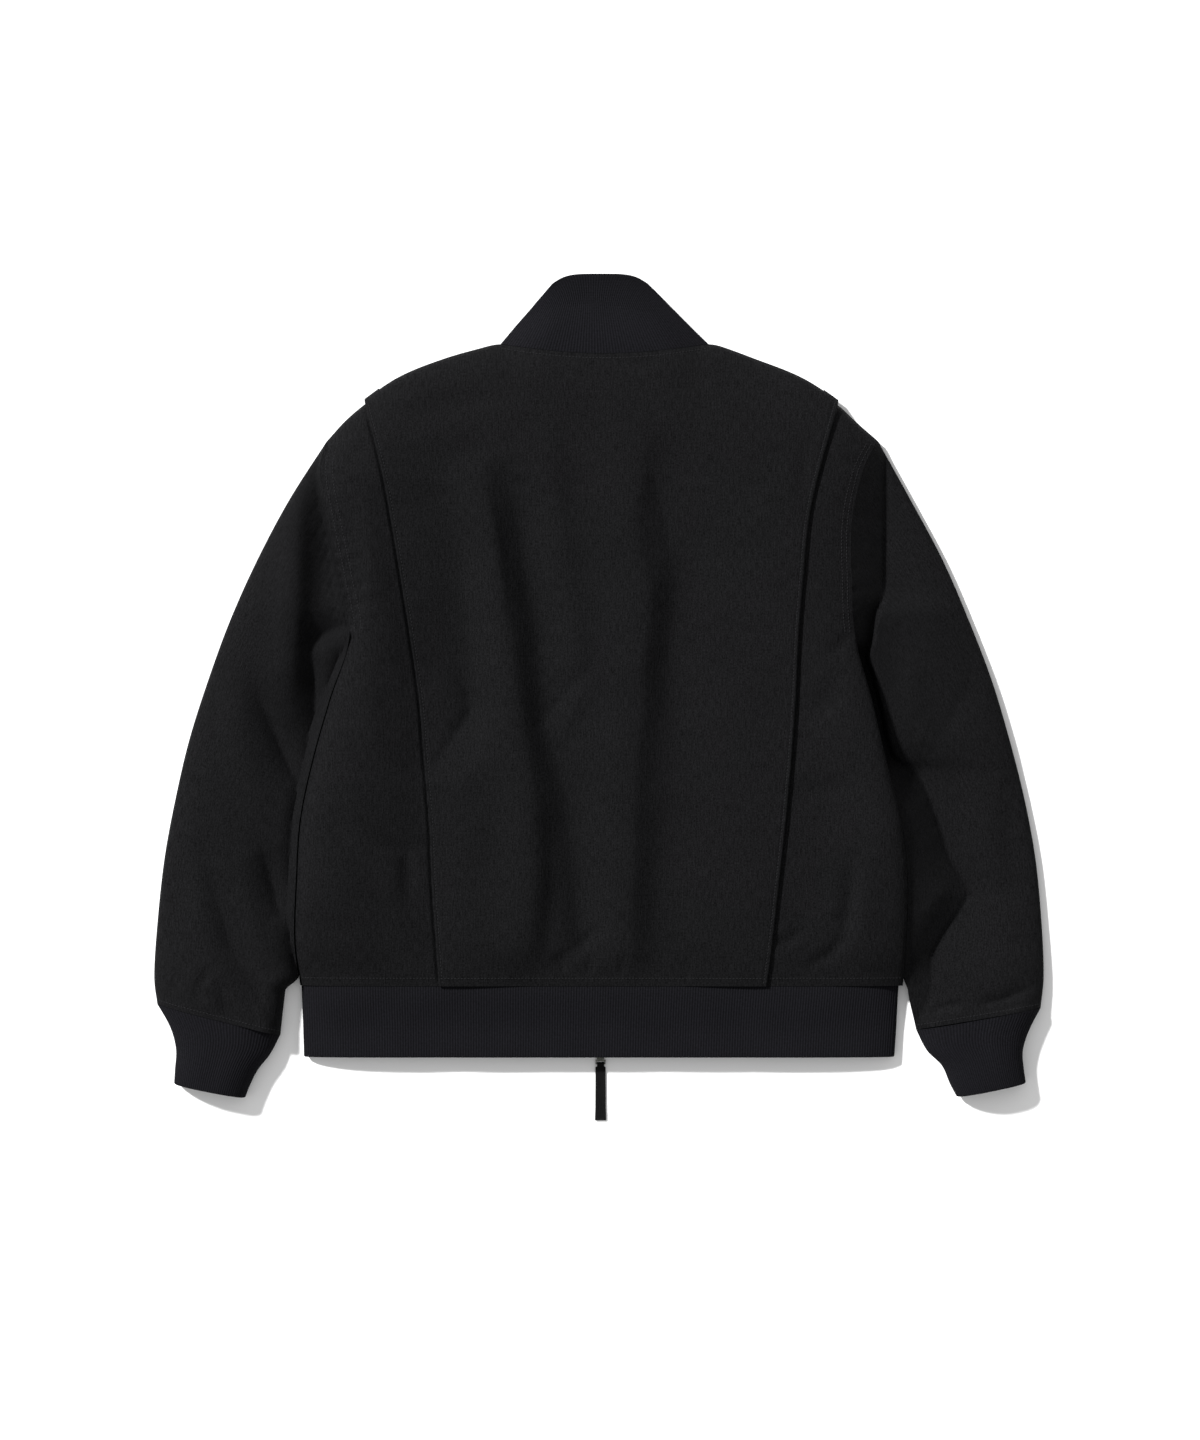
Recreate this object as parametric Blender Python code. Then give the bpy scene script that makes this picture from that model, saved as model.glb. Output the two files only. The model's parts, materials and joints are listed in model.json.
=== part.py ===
"""A tanker jacket laid flat, face down, with its back showing.

The tables and sizes are in millimetres, and every mesh is written in metres. +X points to the right
of the back as it lies, +Y to the collar and +Z up. The origin is the middle of the jacket's outline
on the surface that it rests on, so the fronts' outer faces lie at zero height.
"""
import math
from collections import namedtuple

import bmesh
import bpy
from mathutils import Matrix, Vector

MM = 0.001
SIGN = {"left": -1.0, "right": 1.0}

# Cloth and seams
CLOTH = 1.8                 # body and sleeve cloth, with its backing
RIB = 3.0                   # doubled rib knit
SEAM_GAP = 0.3
SIDE_GAP = 1.7              # between the body's side and the sleeve lying beside it
SEAM_INSET = 12.0           # the side and shoulder seams lie this far in, on the front
FOLD_RADIUS = 7.0           # how round the folded edges of body and sleeves are
CUFF_FOLD_RADIUS = 9.0
COLLAR_FOLD_RADIUS = 5.0

# How far in from a folded edge the cloth reaches its full height
SIDE_REACH = 75.0
SHOULDER_REACH = 70.0
EDGE_ROUND = {"left": 9.0, "right": 3.0}    # the body's raised sides are rounded this far in
BESIDE = 22.0               # the left sleeve keeps the height of the body's edge this far out
BESIDE_RISE = 3.0
NECK_LIFT = 22.0
NECK_RUN = 45.0

# Places along the centre back
HEM_Y = -267.0              # waistband seam
HEM_END_Y = -333.5          # lower edge of the waistband
UNDERARM_Y = 57.2
TIP_Y = 238.5               # top of the armhole
FOLD_TOP_Y = 275.0          # where the pleat folds meet the shoulder
NECK_X = 5.0                # middle of the neck
NECK_HALF = 97.0
NECK_CORNER_Y = 328.0
BACK_NECK_DROP = 10.0
FRONT_NECK_DROP = 57.0

# Pleats
UNDERLAY = 25.0             # how far a side panel runs under the centre panel
RETURN = 14.0               # how far the centre panel's edge is folded back
FOLD_STACK = 5.0            # height of the folded edge above the side panel
RIGHT_GAPE = 2.2            # the right pleat stands this much higher at mid length
FOLD_CLEAR = 0.8
FOLD_FADE = 50.0            # the centre panel is down at the body's surface this far in
SHOULDER_STEP = 3.7         # the centre panel stands this much past the side panels there

# Collar, waistband and cuffs
COLLAR_TOP_Y = 393.0
COLLAR_TOP_X = 1.0
COLLAR_TOP_HALF = 44.0
COLLAR_CORNER = 8.0         # how far its top corners are rounded down
COLLAR_HEIGHT = 13.0
COLLAR_FRONT_TOP_Y = 335.0
COLLAR_OPENING = 4.0
HEM_LEFT = -274.0
HEM_RIGHT = 274.5
HEM_END_HEIGHT = 19.0

# Zip
ZIP_X = 1.5
CHANNEL_HALF = 7.0          # half the gap between the waistband's ends
FRONT_EDGE = 3.4            # from the zip's middle to the fronts' edges
TAPE_WIDTH = 14.0
TAPE = 1.0
CHAIN_HALF = 2.8
CHAIN = 2.4
ZIP_FLOOR = 3.3             # underside of the zip
HINGE_Y = HEM_END_Y - 1.3
HINGE_Z = 1.5
SLIDER_CLEAR = 0.5          # the slider's body starts this far behind the hinge
SLIDER_LENGTH = 11.0
EAR_INNER = 2.3
EAR_OUTER = 3.3
EAR_RADIUS = 1.4
PIN_RADIUS = 0.45
BARREL_RADIUS = 1.1
BORE_RADIUS = 0.75
LINK_HALF = 4.6
LINK_THICKNESS = 1.4
LINK_SHOULDER = 2.0         # the link widens this far from its hinge
LINK_BAR = 5.6              # hinge to the bar that the tab is folded round
BAR_RADIUS = 0.5
TAB_WALL = 0.85
SLIDER_HALF = 4.6
SLIDER_TOP = 7.4
TAB_LENGTH = 52.6
TAB_HALF = 4.7

Edge = namedtuple("Edge", "y left right")
BODY_EDGES = [
    Edge(-267.0, -277.1, 281.8),
    Edge(-225.5, -281.8, 283.7),
    Edge(-169.7, -279.9, 284.6),
    Edge(-113.9, -276.2, 278.5),
    Edge(-58.1, -264.6, 264.6),
    Edge(-2.3, -248.8, 251.6),
    Edge(57.2, -230.6, 236.2),
    Edge(109.3, -239.0, 233.4),
    Edge(165.1, -250.2, 233.9),
    Edge(211.6, -257.6, 244.6),
    Edge(238.5, -252.0, 258.5),
]
# The body's edge stands as high as the body this far in from a plain folded side
EDGE_LIFT = [
    Edge(-267.0, 2.0, 8.0),
    Edge(-240.0, 8.0, 28.0),
    Edge(-188.0, 18.0, 44.0),
    Edge(-100.0, 20.0, 50.0),
    Edge(-20.0, 20.0, 46.0),
    Edge(30.0, 22.0, 34.0),
    Edge(57.2, 26.0, 28.0),
    Edge(112.0, 30.0, 30.0),
    Edge(238.5, 30.0, 30.0),
]
PLEAT_FOLDS = [
    Edge(-267.0, -147.9, 155.3),
    Edge(-225.5, -150.7, 160.4),
    Edge(-169.7, -154.4, 166.5),
    Edge(-113.9, -156.7, 172.5),
    Edge(-58.1, -161.4, 177.6),
    Edge(-2.3, -166.0, 181.4),
    Edge(57.2, -174.4, 184.1),
    Edge(109.3, -182.7, 188.3),
    Edge(165.1, -192.0, 193.9),
    Edge(211.6, -200.9, 204.1),
    Edge(275.0, -217.6, 222.3),
]

Shoulder = namedtuple("Shoulder", "x y")
SHOULDER_LINE = [
    Shoulder(-252.0, 238.5),
    Shoulder(-236.0, 256.2),
    Shoulder(-217.6, 272.0),
    Shoulder(-187.0, 293.0),
    Shoulder(-144.0, 312.5),
    Shoulder(-111.6, 323.5),
    Shoulder(-92.0, 328.0),
    Shoulder(102.0, 328.0),
    Shoulder(114.4, 325.5),
    Shoulder(146.0, 312.5),
    Shoulder(188.8, 293.0),
    Shoulder(222.3, 271.0),
    Shoulder(238.5, 256.0),
    Shoulder(258.5, 238.5),
]

Crown = namedtuple("Crown", "y height")
CROWN = [
    Crown(-267.0, 24.0),
    Crown(-225.0, 31.0),
    Crown(-114.0, 37.0),
    Crown(-2.0, 39.0),
    Crown(109.0, 39.0),
    Crown(212.0, 36.0),
    Crown(328.0, 30.0),
]

# Short body folds: start, middle and end of each run, its depth (a valley is negative) and half width
Fold = namedtuple("Fold", "x1 y1 x2 y2 x3 y3 depth width")
BODY_FOLDS = [
    Fold(-174, 262, -130, 272, -95, 279, -3.0, 14.0),
    Fold(-28, -226, -20, -236, -6, -246, 2.5, 9.0),
]

# Long ridges (positive) and valleys that run down the back: how high each is at places along it,
# and how wide its slopes are towards the wearer's left and right
LongFold = namedtuple("LongFold", "left right places")
Place = namedtuple("Place", "y x height")
LONG_FOLDS = [
    # down the left half
    LongFold(44.0, 20.0, [
        Place(202.0, -152.0, -1.0), Place(174.0, -146.0, -6.0), Place(137.0, -130.0, -9.5),
        Place(100.0, -129.0, -12.0), Place(63.0, -124.5, -14.0), Place(26.0, -120.0, -14.0),
        Place(-12.0, -117.0, -12.0), Place(-49.0, -126.0, -6.0), Place(-81.0, -148.0, 0.0)]),
    LongFold(28.0, 17.0, [
        Place(226.0, -108.0, 0.0), Place(211.0, -108.0, 3.5), Place(174.0, -102.5, 7.5),
        Place(137.0, -96.5, 8.5), Place(63.0, -84.5, 8.5), Place(26.0, -81.0, 8.5),
        Place(-12.0, -75.5, 8.0), Place(-86.0, -65.0, 8.0), Place(-160.0, -63.0, 8.0),
        Place(-198.0, -65.0, 7.5), Place(-230.0, -68.0, 5.5), Place(-255.0, -70.0, 0.5)]),
    LongFold(17.0, 24.0, [
        Place(219.0, -92.0, 0.0), Place(174.0, -74.5, -6.0), Place(137.0, -68.0, -8.0),
        Place(100.0, -61.5, -8.0), Place(63.0, -54.0, -7.0), Place(-12.0, -48.5, -7.0),
        Place(-49.0, -42.0, -7.0), Place(-86.0, -28.0, -7.5), Place(-123.0, -24.0, -7.5),
        Place(-160.0, -19.0, -7.5), Place(-198.0, -16.0, -7.5), Place(-230.0, -14.0, -6.0),
        Place(-255.0, -16.0, -0.5)]),
    LongFold(22.0, 14.0, [
        Place(249.0, -46.0, 1.5), Place(174.0, -41.0, 3.0), Place(137.0, -35.0, 3.0),
        Place(100.0, -30.0, 2.0), Place(26.0, -20.0, 3.0), Place(-12.0, -29.0, 3.5),
        Place(-49.0, -40.0, 0.0)]),
    # down the right half
    LongFold(36.0, 17.0, [
        Place(249.0, 35.0, 2.0), Place(211.0, 38.0, 5.0), Place(174.0, 30.0, 6.0),
        Place(137.0, 33.0, 6.0), Place(100.0, 42.0, 7.0), Place(63.0, 41.0, 7.5),
        Place(26.0, 36.5, 8.0), Place(-12.0, 36.5, 7.5), Place(-49.0, 31.0, 7.0),
        Place(-160.0, 28.0, 7.0), Place(-230.0, 27.0, 5.0), Place(-255.0, 27.0, 0.5)]),
    LongFold(17.0, 26.0, [
        Place(211.0, 52.0, -2.0), Place(174.0, 60.0, -1.5), Place(137.0, 78.0, -3.5),
        Place(100.0, 74.0, -4.5), Place(63.0, 72.0, -4.5), Place(26.0, 68.0, -4.5),
        Place(-12.0, 70.0, -3.0), Place(-49.0, 73.0, -2.0), Place(-123.0, 66.0, -2.0),
        Place(-160.0, 60.0, -2.0), Place(-230.0, 57.0, -1.5), Place(-255.0, 56.0, -0.5)]),
    # beside the left pleat's fold, and along the sides
    LongFold(24.0, 26.0, [
        Place(190.0, -195.0, -1.5), Place(137.0, -187.0, -4.5), Place(63.0, -176.0, -6.0),
        Place(-12.0, -168.0, -5.5), Place(-86.0, -160.0, -5.0), Place(-160.0, -155.0, -5.0),
        Place(-230.0, -151.0, -3.0), Place(-255.0, -149.0, 0.0)]),
    LongFold(14.0, 58.0, [
        Place(190.0, -212.0, 0.5), Place(137.0, -207.0, 4.0), Place(100.0, -207.0, 5.0),
        Place(63.0, -213.0, 5.0), Place(26.0, -224.0, 4.5), Place(-12.0, -236.0, 5.0),
        Place(-60.0, -249.0, 7.0), Place(-114.0, -260.0, 9.0), Place(-180.0, -265.0, 8.0),
        Place(-230.0, -265.0, 4.0), Place(-255.0, -262.0, 0.0)]),
    LongFold(46.0, 20.0, [
        Place(120.0, 222.0, 0.0), Place(57.0, 226.0, 4.0), Place(-2.0, 240.0, 7.0),
        Place(-58.0, 253.0, 9.0), Place(-114.0, 266.0, 10.0), Place(-170.0, 270.0, 9.0),
        Place(-225.0, 268.0, 4.0), Place(-255.0, 268.0, 0.0)]),
]

SleeveRow = namedtuple("SleeveRow", "outer_x outer_y inner_x inner_y height")
SLEEVE_LEFT = [
    SleeveRow(-252.3, 238.5, -231.9, 57.2, 30.0),
    SleeveRow(-287.4, 183.7, -240.0, 30.2, 27.0),
    SleeveRow(-317.1, 127.9, -250.0, -3.3, 25.0),
    SleeveRow(-342.2, 72.1, -260.4, -37.7, 25.0),
    SleeveRow(-362.7, 16.3, -269.7, -73.0, 25.0),
    SleeveRow(-380.4, -39.5, -276.2, -110.2, 25.0),
    SleeveRow(-393.4, -95.3, -279.0, -149.3, 25.0),
    SleeveRow(-403.6, -151.1, -281.0, -188.3, 25.0),
    SleeveRow(-410.1, -211.6, -285.5, -229.2, 26.0),
    SleeveRow(-412.9, -258.1, -291.1, -272.0, 27.0),
    SleeveRow(-410.1, -284.1, -295.7, -312.9, 28.0),
]
SLEEVE_RIGHT = [
    SleeveRow(258.8, 238.5, 237.5, 57.2, 30.0),
    SleeveRow(289.2, 183.7, 245.0, 23.7, 24.0),
    SleeveRow(319.0, 127.9, 254.0, -6.0, 21.0),
    SleeveRow(343.2, 72.1, 262.0, -39.5, 21.0),
    SleeveRow(364.6, 16.3, 270.0, -73.9, 22.0),
    SleeveRow(381.3, -39.5, 280.0, -111.1, 20.0),
    SleeveRow(395.3, -95.3, 285.0, -149.3, 19.0),
    SleeveRow(405.5, -151.1, 286.5, -188.3, 20.0),
    SleeveRow(411.1, -211.6, 286.5, -229.2, 22.0),
    SleeveRow(412.9, -258.1, 286.5, -270.0, 26.0),
    SleeveRow(410.1, -287.8, 294.5, -308.3, 28.0),
]
# Along each sleeve, as shares of its length: close together beside the armhole
SLEEVE_STATIONS = [0, .012, .032, .055, .085, .13, .19, .26, .33, .40, .48, .56, .64, .72, .80, .87,
                   .93, .975, 1]
ARMHOLE_BLEND = 48.0        # the sleeve takes its own height this far from the armhole
APART_FROM_Y = -258.0       # below this the sleeve leaves the body's side
APART_RUN = 14.0
CREASE_START = 10.0         # creases begin this far from the armhole

# The right sleeve dips beside the body: where the dip's far edge is, how high its near side stands
# against the body, and whether the sleeve beyond starts as low as the dip (1) or rises as a wall (0)
Dip = namedtuple("Dip", "y x bank low")
DIP = [
    Dip(-304.6, 294.0, 0.66, 1.0),
    Dip(-272.0, 308.5, 0.91, 1.0),
    Dip(-244.0, 309.7, 0.98, 1.0),
    Dip(-222.0, 319.9, 1.00, 1.0),
    Dip(-179.0, 341.0, 1.00, 1.0),
    Dip(-148.3, 326.4, 1.00, 1.0),
    Dip(-95.3, 308.5, 0.96, 1.0),
    Dip(-68.4, 295.0, 0.60, 0.9),
    Dip(-56.0, 280.0, 0.20, 0.5),
    Dip(-40.0, 274.0, 0.00, 0.1),
    Dip(-17.2, 269.0, 0.00, 0.0),
    Dip(23.7, 259.0, 0.00, 0.0),
    Dip(35.8, 255.0, 0.10, 0.0),
    Dip(53.5, 258.0, 0.80, 0.0),
    Dip(79.5, 262.0, 1.00, 0.1),
    Dip(104.0, 267.2, 1.00, 1.0),
    Dip(222.7, 266.9, 1.00, 1.0),
    Dip(238.5, 260.5, 1.00, 1.0),
]
DIP_FLOOR = 7.5
DIP_WALL = 8.0
DIP_SPREAD = 60.0           # beyond a low far edge the sleeve rises to its own height this slowly

SLEEVE_FOLDS_LEFT = [
    Fold(-281, 204, -279, 100, -288, -10, 9.5, 16.0),
    Fold(-262, 224, -254, 146, -246, 88, -12.0, 15.0),
    Fold(-228, 68, -250, 61, -271, 48, -8.0, 11.0),
    Fold(-267, 54, -263, -2, -266, -62, -11.0, 15.0),
    Fold(-320, 13, -297, -42, -272, -96, -9.0, 15.0),
    Fold(-311, -142, -301, -178, -293, -212, -7.5, 14.0),
    Fold(-367, -138, -340, -230, -303, -292, -4.5, 14.0),
]
SLEEVE_FOLDS_RIGHT = [
    Fold(350, 64, 345, 13, 298, -70, -4.5, 30.0),
    Fold(404, -266, 378, -279, 350, -286, -4.0, 8.0),
]

CuffRow = namedtuple("CuffRow", "outer_x outer_y inner_x inner_y height")
CUFF_LEFT = [
    CuffRow(-398.0, -305.5, -305.0, -331.0, 27.0),
    CuffRow(-392.5, -326.0, -316.2, -345.0, 27.0),
    CuffRow(-393.4, -344.6, -323.6, -359.5, 27.0),
    CuffRow(-394.3, -358.5, -328.3, -371.5, 27.0),
]
CUFF_RIGHT = [
    CuffRow(399.0, -309.2, 304.1, -327.5, 27.0),
    CuffRow(393.4, -327.8, 318.1, -341.5, 27.0),
    CuffRow(394.3, -344.6, 325.5, -358.0, 27.0),
    CuffRow(396.2, -357.6, 332.0, -370.6, 27.0),
]

# Colour, roughness and metalness
BLACK_CLOTH = (0.012, 0.012, 0.013, 0.85, 0.0)
BLACK_RIB = (0.011, 0.012, 0.015, 0.9, 0.0)
BLACK_TAPE = (0.010, 0.010, 0.011, 0.8, 0.0)
GREY_METAL = (0.33, 0.32, 0.30, 0.35, 1.0)
BLACK_TAB = (0.014, 0.013, 0.013, 0.7, 0.0)


# ---------------------------------------------------------------- small helpers

def clamp(value, low=0.0, high=1.0):
    return max(low, min(high, value))


def mix(a, b, share):
    return a + (b - a) * share


def ease(share):
    """Smooth step from 0 to 1."""
    share = clamp(share)
    return share * share * (3.0 - 2.0 * share)


def arch(distance, reach):
    """Quarter of an ellipse: 0 at an edge, 1 from the reach inwards."""
    return math.sqrt(1.0 - (1.0 - clamp(distance / reach)) ** 2)


def read(table, key, column, place):
    """A column of a table at a place between its rows, on a smooth curve through them."""
    rows = sorted(table, key=lambda row: getattr(row, key))
    keys = [getattr(row, key) for row in rows]
    values = [getattr(row, column) for row in rows]
    if place <= keys[0]:
        return values[0]
    if place >= keys[-1]:
        return values[-1]
    i = max(k for k in range(len(keys) - 1) if keys[k] <= place)
    step = keys[i + 1] - keys[i]
    slopes = []
    for k in (i, i + 1):
        low, high = max(k - 1, 0), min(k + 1, len(keys) - 1)
        slopes.append((values[high] - values[low]) / (keys[high] - keys[low]))
    t = (place - keys[i]) / step
    return ((2 * t**3 - 3 * t**2 + 1) * values[i] + (t**3 - 2 * t**2 + t) * step * slopes[0]
            + (3 * t**2 - 2 * t**3) * values[i + 1] + (t**3 - t**2) * step * slopes[1])


def read_row(table, column, share):
    """A column of a table of evenly spaced rows, at a share of its length."""
    place = clamp(share) * (len(table) - 1)
    i = min(int(place), len(table) - 2)
    values = [getattr(row, column) for row in table]
    before = values[i - 1] if i else 2 * values[0] - values[1]
    after = values[i + 2] if i + 2 < len(values) else 2 * values[-1] - values[-2]
    t = place - i
    slope_a, slope_b = (values[i + 1] - before) / 2, (after - values[i]) / 2
    return ((2 * t**3 - 3 * t**2 + 1) * values[i] + (t**3 - 2 * t**2 + t) * slope_a
            + (3 * t**2 - 2 * t**3) * values[i + 1] + (t**3 - t**2) * slope_b)


def fold_height(folds, x, y):
    """Sum of the folds at a place: each is a soft ridge or valley that dies out at its ends."""
    total = 0.0
    for fold in folds:
        points = [(fold.x1, fold.y1), (fold.x2, fold.y2), (fold.x3, fold.y3)]
        best, along = 1e9, 0.0
        for k in range(2):
            (ax, ay), (bx, by) = points[k], points[k + 1]
            length2 = (bx - ax) ** 2 + (by - ay) ** 2
            t = clamp(((x - ax) * (bx - ax) + (y - ay) * (by - ay)) / length2)
            gap = math.hypot(x - mix(ax, bx, t), y - mix(ay, by, t))
            if gap < best:
                best, along = gap, (k + t) / 2
        fade = 0.25 + 0.75 * math.sin(math.pi * clamp(along, 0.0, 1.0))
        total += fold.depth * fade * math.exp(-(best / fold.width) ** 2)
    return total


def long_height(x, y):
    """Sum of the long ridges and valleys that run down the back."""
    total = 0.0
    for fold in LONG_FOLDS:
        near_y = min(max(y, fold.places[-1].y), fold.places[0].y)
        off = x - read(fold.places, "y", "x", near_y)
        width = mix(fold.left, fold.right, ease(0.5 + off / 20.0))
        past_end = abs(y - near_y)
        height = read(fold.places, "y", "height", near_y) * math.exp(-(past_end / 18.0) ** 2)
        total += height * math.exp(-(off / width) ** 2)
    return total


# ---------------------------------------------------------------- the jacket's surfaces

def edge_x(side, y):
    """The body's outer edge, or the armhole above the underarm."""
    return read(BODY_EDGES, "y", side, y)


def fold_x(side, y):
    return read(PLEAT_FOLDS, "y", side, y)


def in_neck(x):
    return abs(x - NECK_X) < NECK_HALF - 1e-6


def top_y(x, step=0.0):
    """The neck seam, or the fold along the shoulder, of a panel that stands a step past the sides."""
    if in_neck(x):
        return NECK_CORNER_Y - BACK_NECK_DROP * (1.0 - ((x - NECK_X) / NECK_HALF) ** 2)
    past_neck = abs(x - NECK_X) - NECK_HALF
    return read(SHOULDER_LINE, "x", "y", x) + step * ease(past_neck / 100.0)


def body_height(x, y, step=0.0):
    """Height of the upper layer's outer face."""
    from_left = x - edge_x("left", y)
    from_right = edge_x("right", y) - x
    nearest = "left" if from_left < from_right else "right"
    from_edge = min(from_left, from_right)
    from_side = from_edge + read(EDGE_LIFT, "y", nearest, y)
    from_top = (top_y(x, step) - y) * 0.87
    from_top += NECK_LIFT * ease((NECK_HALF - abs(x - NECK_X)) / NECK_RUN)
    fill = arch(from_side, SIDE_REACH) * arch(from_top, SHOULDER_REACH)
    crown = read(CROWN, "y", "height", y) - FOLD_RADIUS
    folds = fold_height(BODY_FOLDS, x, y) + long_height(x, y)
    height = FOLD_RADIUS + (crown + folds) * fill
    rounding = EDGE_ROUND[nearest] * (1.0 - arch(from_edge, EDGE_ROUND[nearest]))
    rounding *= ease((UNDERARM_Y - y) / 20.0)
    return max(height - rounding * fill, min(height, FOLD_RADIUS))


def shoulder_seam_y(x):
    """The seam between back and front, straight from the armhole to the pleat and to the neck."""
    side = "left" if x < NECK_X else "right"
    tip_y = TIP_Y - SEAM_INSET
    tip_x = edge_x(side, tip_y)
    fold = fold_x(side, FOLD_TOP_Y)
    fold_y = FOLD_TOP_Y - SEAM_INSET - SHOULDER_STEP
    corner = NECK_X + SIGN[side] * NECK_HALF
    corner_y = NECK_CORNER_Y - SEAM_INSET
    if abs(x) > abs(fold):
        return mix(tip_y, fold_y, (x - tip_x) / (fold - tip_x))
    return mix(fold_y, corner_y, (x - fold) / (corner - fold))


def neckline(side, share):
    """The front neck seam, from the zip at 0 to the neck corner at 1."""
    start = ZIP_X + SIGN[side] * FRONT_EDGE
    corner = NECK_X + SIGN[side] * NECK_HALF
    x = mix(start, corner, share)
    top = NECK_CORNER_Y - SEAM_INSET
    return x, top - FRONT_NECK_DROP * math.sqrt(1.0 - share ** 2)


# ---------------------------------------------------------------- building walls

def make_material(name, look):
    red, green, blue, roughness, metallic = look
    material = bpy.data.materials.new(name)
    material.use_nodes = True
    shader = material.node_tree.nodes["Principled BSDF"]
    shader.inputs["Base Color"].default_value = (red, green, blue, 1.0)
    shader.inputs["Roughness"].default_value = roughness
    shader.inputs["Metallic"].default_value = metallic
    return material


def add_object(name, bm, material, collection):
    """One named object from a mesh in millimetres."""
    bmesh.ops.scale(bm, vec=(MM, MM, MM), verts=bm.verts)
    mesh = bpy.data.meshes.new(name)
    bm.to_mesh(mesh)
    bm.free()
    mesh.materials.append(material)
    mesh.shade_smooth()
    mesh.set_sharp_from_angle(angle=math.radians(40))
    obj = bpy.data.objects.new(name, mesh)
    collection.objects.link(obj)
    return obj


def build_wall(name, grid, thickness, material, collection, cut_square=None, active=None,
               closed=False, flip=False, inner=None):
    """A closed wall from the points of its outer face.

    cut_square gives, for an edge's points, the level direction that its cut end faces. active says
    which cells of the grid are cloth, and closed joins the last column to the first.
    """
    rows, columns = len(grid), len(grid[0])
    wrap = columns if closed else columns - 1
    cells = {(i, j) for i in range(rows - 1) for j in range(wrap) if active is None or active(i, j)}

    def corners(i, j):
        right = (j + 1) % columns
        return [(i, j), (i, right), (i + 1, right), (i + 1, j)]

    bm = bmesh.new()
    used = sorted({key for cell in cells for key in corners(*cell)})
    outer = {key: bm.verts.new(grid[key[0]][key[1]]) for key in used}
    for cell in sorted(cells):
        bm.faces.new([outer[key] for key in corners(*cell)])
    bm.normal_update()
    side = -1.0 if flip else 1.0
    under = {}
    for key, vert in outer.items():
        if inner is not None:
            under[key] = bm.verts.new(inner[key[0]][key[1]])
            continue
        normal = vert.normal.copy()
        facing = cut_square(*key) if cut_square else None
        if facing is not None:
            facing = Vector(facing).normalized()
            normal -= facing * normal.dot(facing)
            normal.normalize()
        under[key] = bm.verts.new(vert.co - normal * side * thickness)
    for i, j in sorted(cells):
        loop = corners(i, j)
        bm.faces.new([under[key] for key in reversed(loop)])
        beside = [(i - 1, j), (i, (j + 1) % columns if closed else j + 1), (i + 1, j),
                  (i, (j - 1) % columns if closed else j - 1)]
        for k in range(4):
            if beside[k] not in cells:
                a, b = loop[k], loop[(k + 1) % 4]
                bm.faces.new([outer[b], outer[a], under[a], under[b]])
    if flip:
        bmesh.ops.reverse_faces(bm, faces=bm.faces)
    return add_object(name, bm, material, collection)


# Round a folded edge, from the edge itself down to the surface that the jacket lies on
TURN_ANGLES = [30.0, 60.0, 90.0]


def turn(radius, angle):
    """How far in from the edge, and how high, the outer face is at an angle round the fold."""
    a = math.radians(angle)
    return radius * (1.0 - math.cos(a)), radius * (1.0 - math.sin(a))


# ---------------------------------------------------------------- the back

BACK_SHARES = [0, .06, .13, .20, .27, .34, .41, .48, .55, .60, .6413, .649, .664, .69, .73, .78, .83,
               .875, .915, .95, .975, .992, 1]
UNDERARM_ROW = BACK_SHARES.index(.6413)
TOP_ROW = len(BACK_SHARES) - 1
SIDE_SHARES = [0, .012, .05, .11, .20, .32, .47, .64, .82, 1]


def edge_y(share):
    return mix(HEM_Y, TIP_Y, share)


def side_point(side, share, across):
    """Plan place on a side panel: across runs from the body's edge at 0 to the pleat's fold at 1."""
    y0 = edge_y(share)
    y1 = mix(HEM_Y, FOLD_TOP_Y - SHOULDER_STEP, share)
    x0, x1 = edge_x(side, y0), fold_x(side, y1)
    y = mix(y0, y1, across)
    if share == 1:
        x = mix(x0, x1, across)
        return x, top_y(x)
    return mix(x0, x1, across), y


def armhole_facing(side, y):
    """Level direction across the armhole seam."""
    slope = (edge_x(side, y + 4.0) - edge_x(side, y - 4.0)) / 8.0
    return (1.0, -slope, 0.0)


def build_side(side, material, collection):
    sign = SIGN[side]
    turned = list(reversed(TURN_ANGLES))
    grid = []
    for share in BACK_SHARES:
        row = []
        x0, y0 = side_point(side, share, 0)
        row.append((x0 - sign * SEAM_INSET, y0, 0.0))
        for angle in turned:
            inward, height = turn(FOLD_RADIUS, angle)
            row.append((x0 - sign * inward, y0, height))
        for across in SIDE_SHARES:
            x, y = side_point(side, share, across)
            row.append((x, y, body_height(x, y)))
        for past in (UNDERLAY / 2, UNDERLAY):
            row.append((x - sign * past, y, body_height(x - sign * past, y)))
        grid.append(row)
    first = 1 + len(turned)
    last = first + len(SIDE_SHARES) - 1
    seam_y = TIP_Y - SEAM_INSET
    for angle in TURN_ANGLES + [None]:
        row = []
        for j, (x, y, _) in enumerate(grid[TOP_ROW]):
            across = SIDE_SHARES[int(clamp(j - first, 0, last - first))]
            if angle is None:
                x = mix(edge_x(side, seam_y), fold_x(side, FOLD_TOP_Y), across)
                row.append((x, shoulder_seam_y(x), 0.0))
            else:
                inward, height = turn(FOLD_RADIUS, angle)
                along_armhole = edge_x(side, TIP_Y - inward) - edge_x(side, TIP_Y)
                row.append((x + along_armhole * (1.0 - across), y - inward, height))
        grid.append(row)

    def active(i, j):
        if i >= TOP_ROW:
            return first <= j < last
        return j >= first or i < UNDERARM_ROW

    def cut_square(i, j):
        if i == 0:
            return (0.0, 1.0, 0.0)
        if j == first and i >= UNDERARM_ROW:
            return armhole_facing(side, grid[i][j][1])
        return None

    return build_wall(f"back_side_{side}", grid, CLOTH, material, collection, cut_square, active,
                      flip=side == "right")


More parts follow.
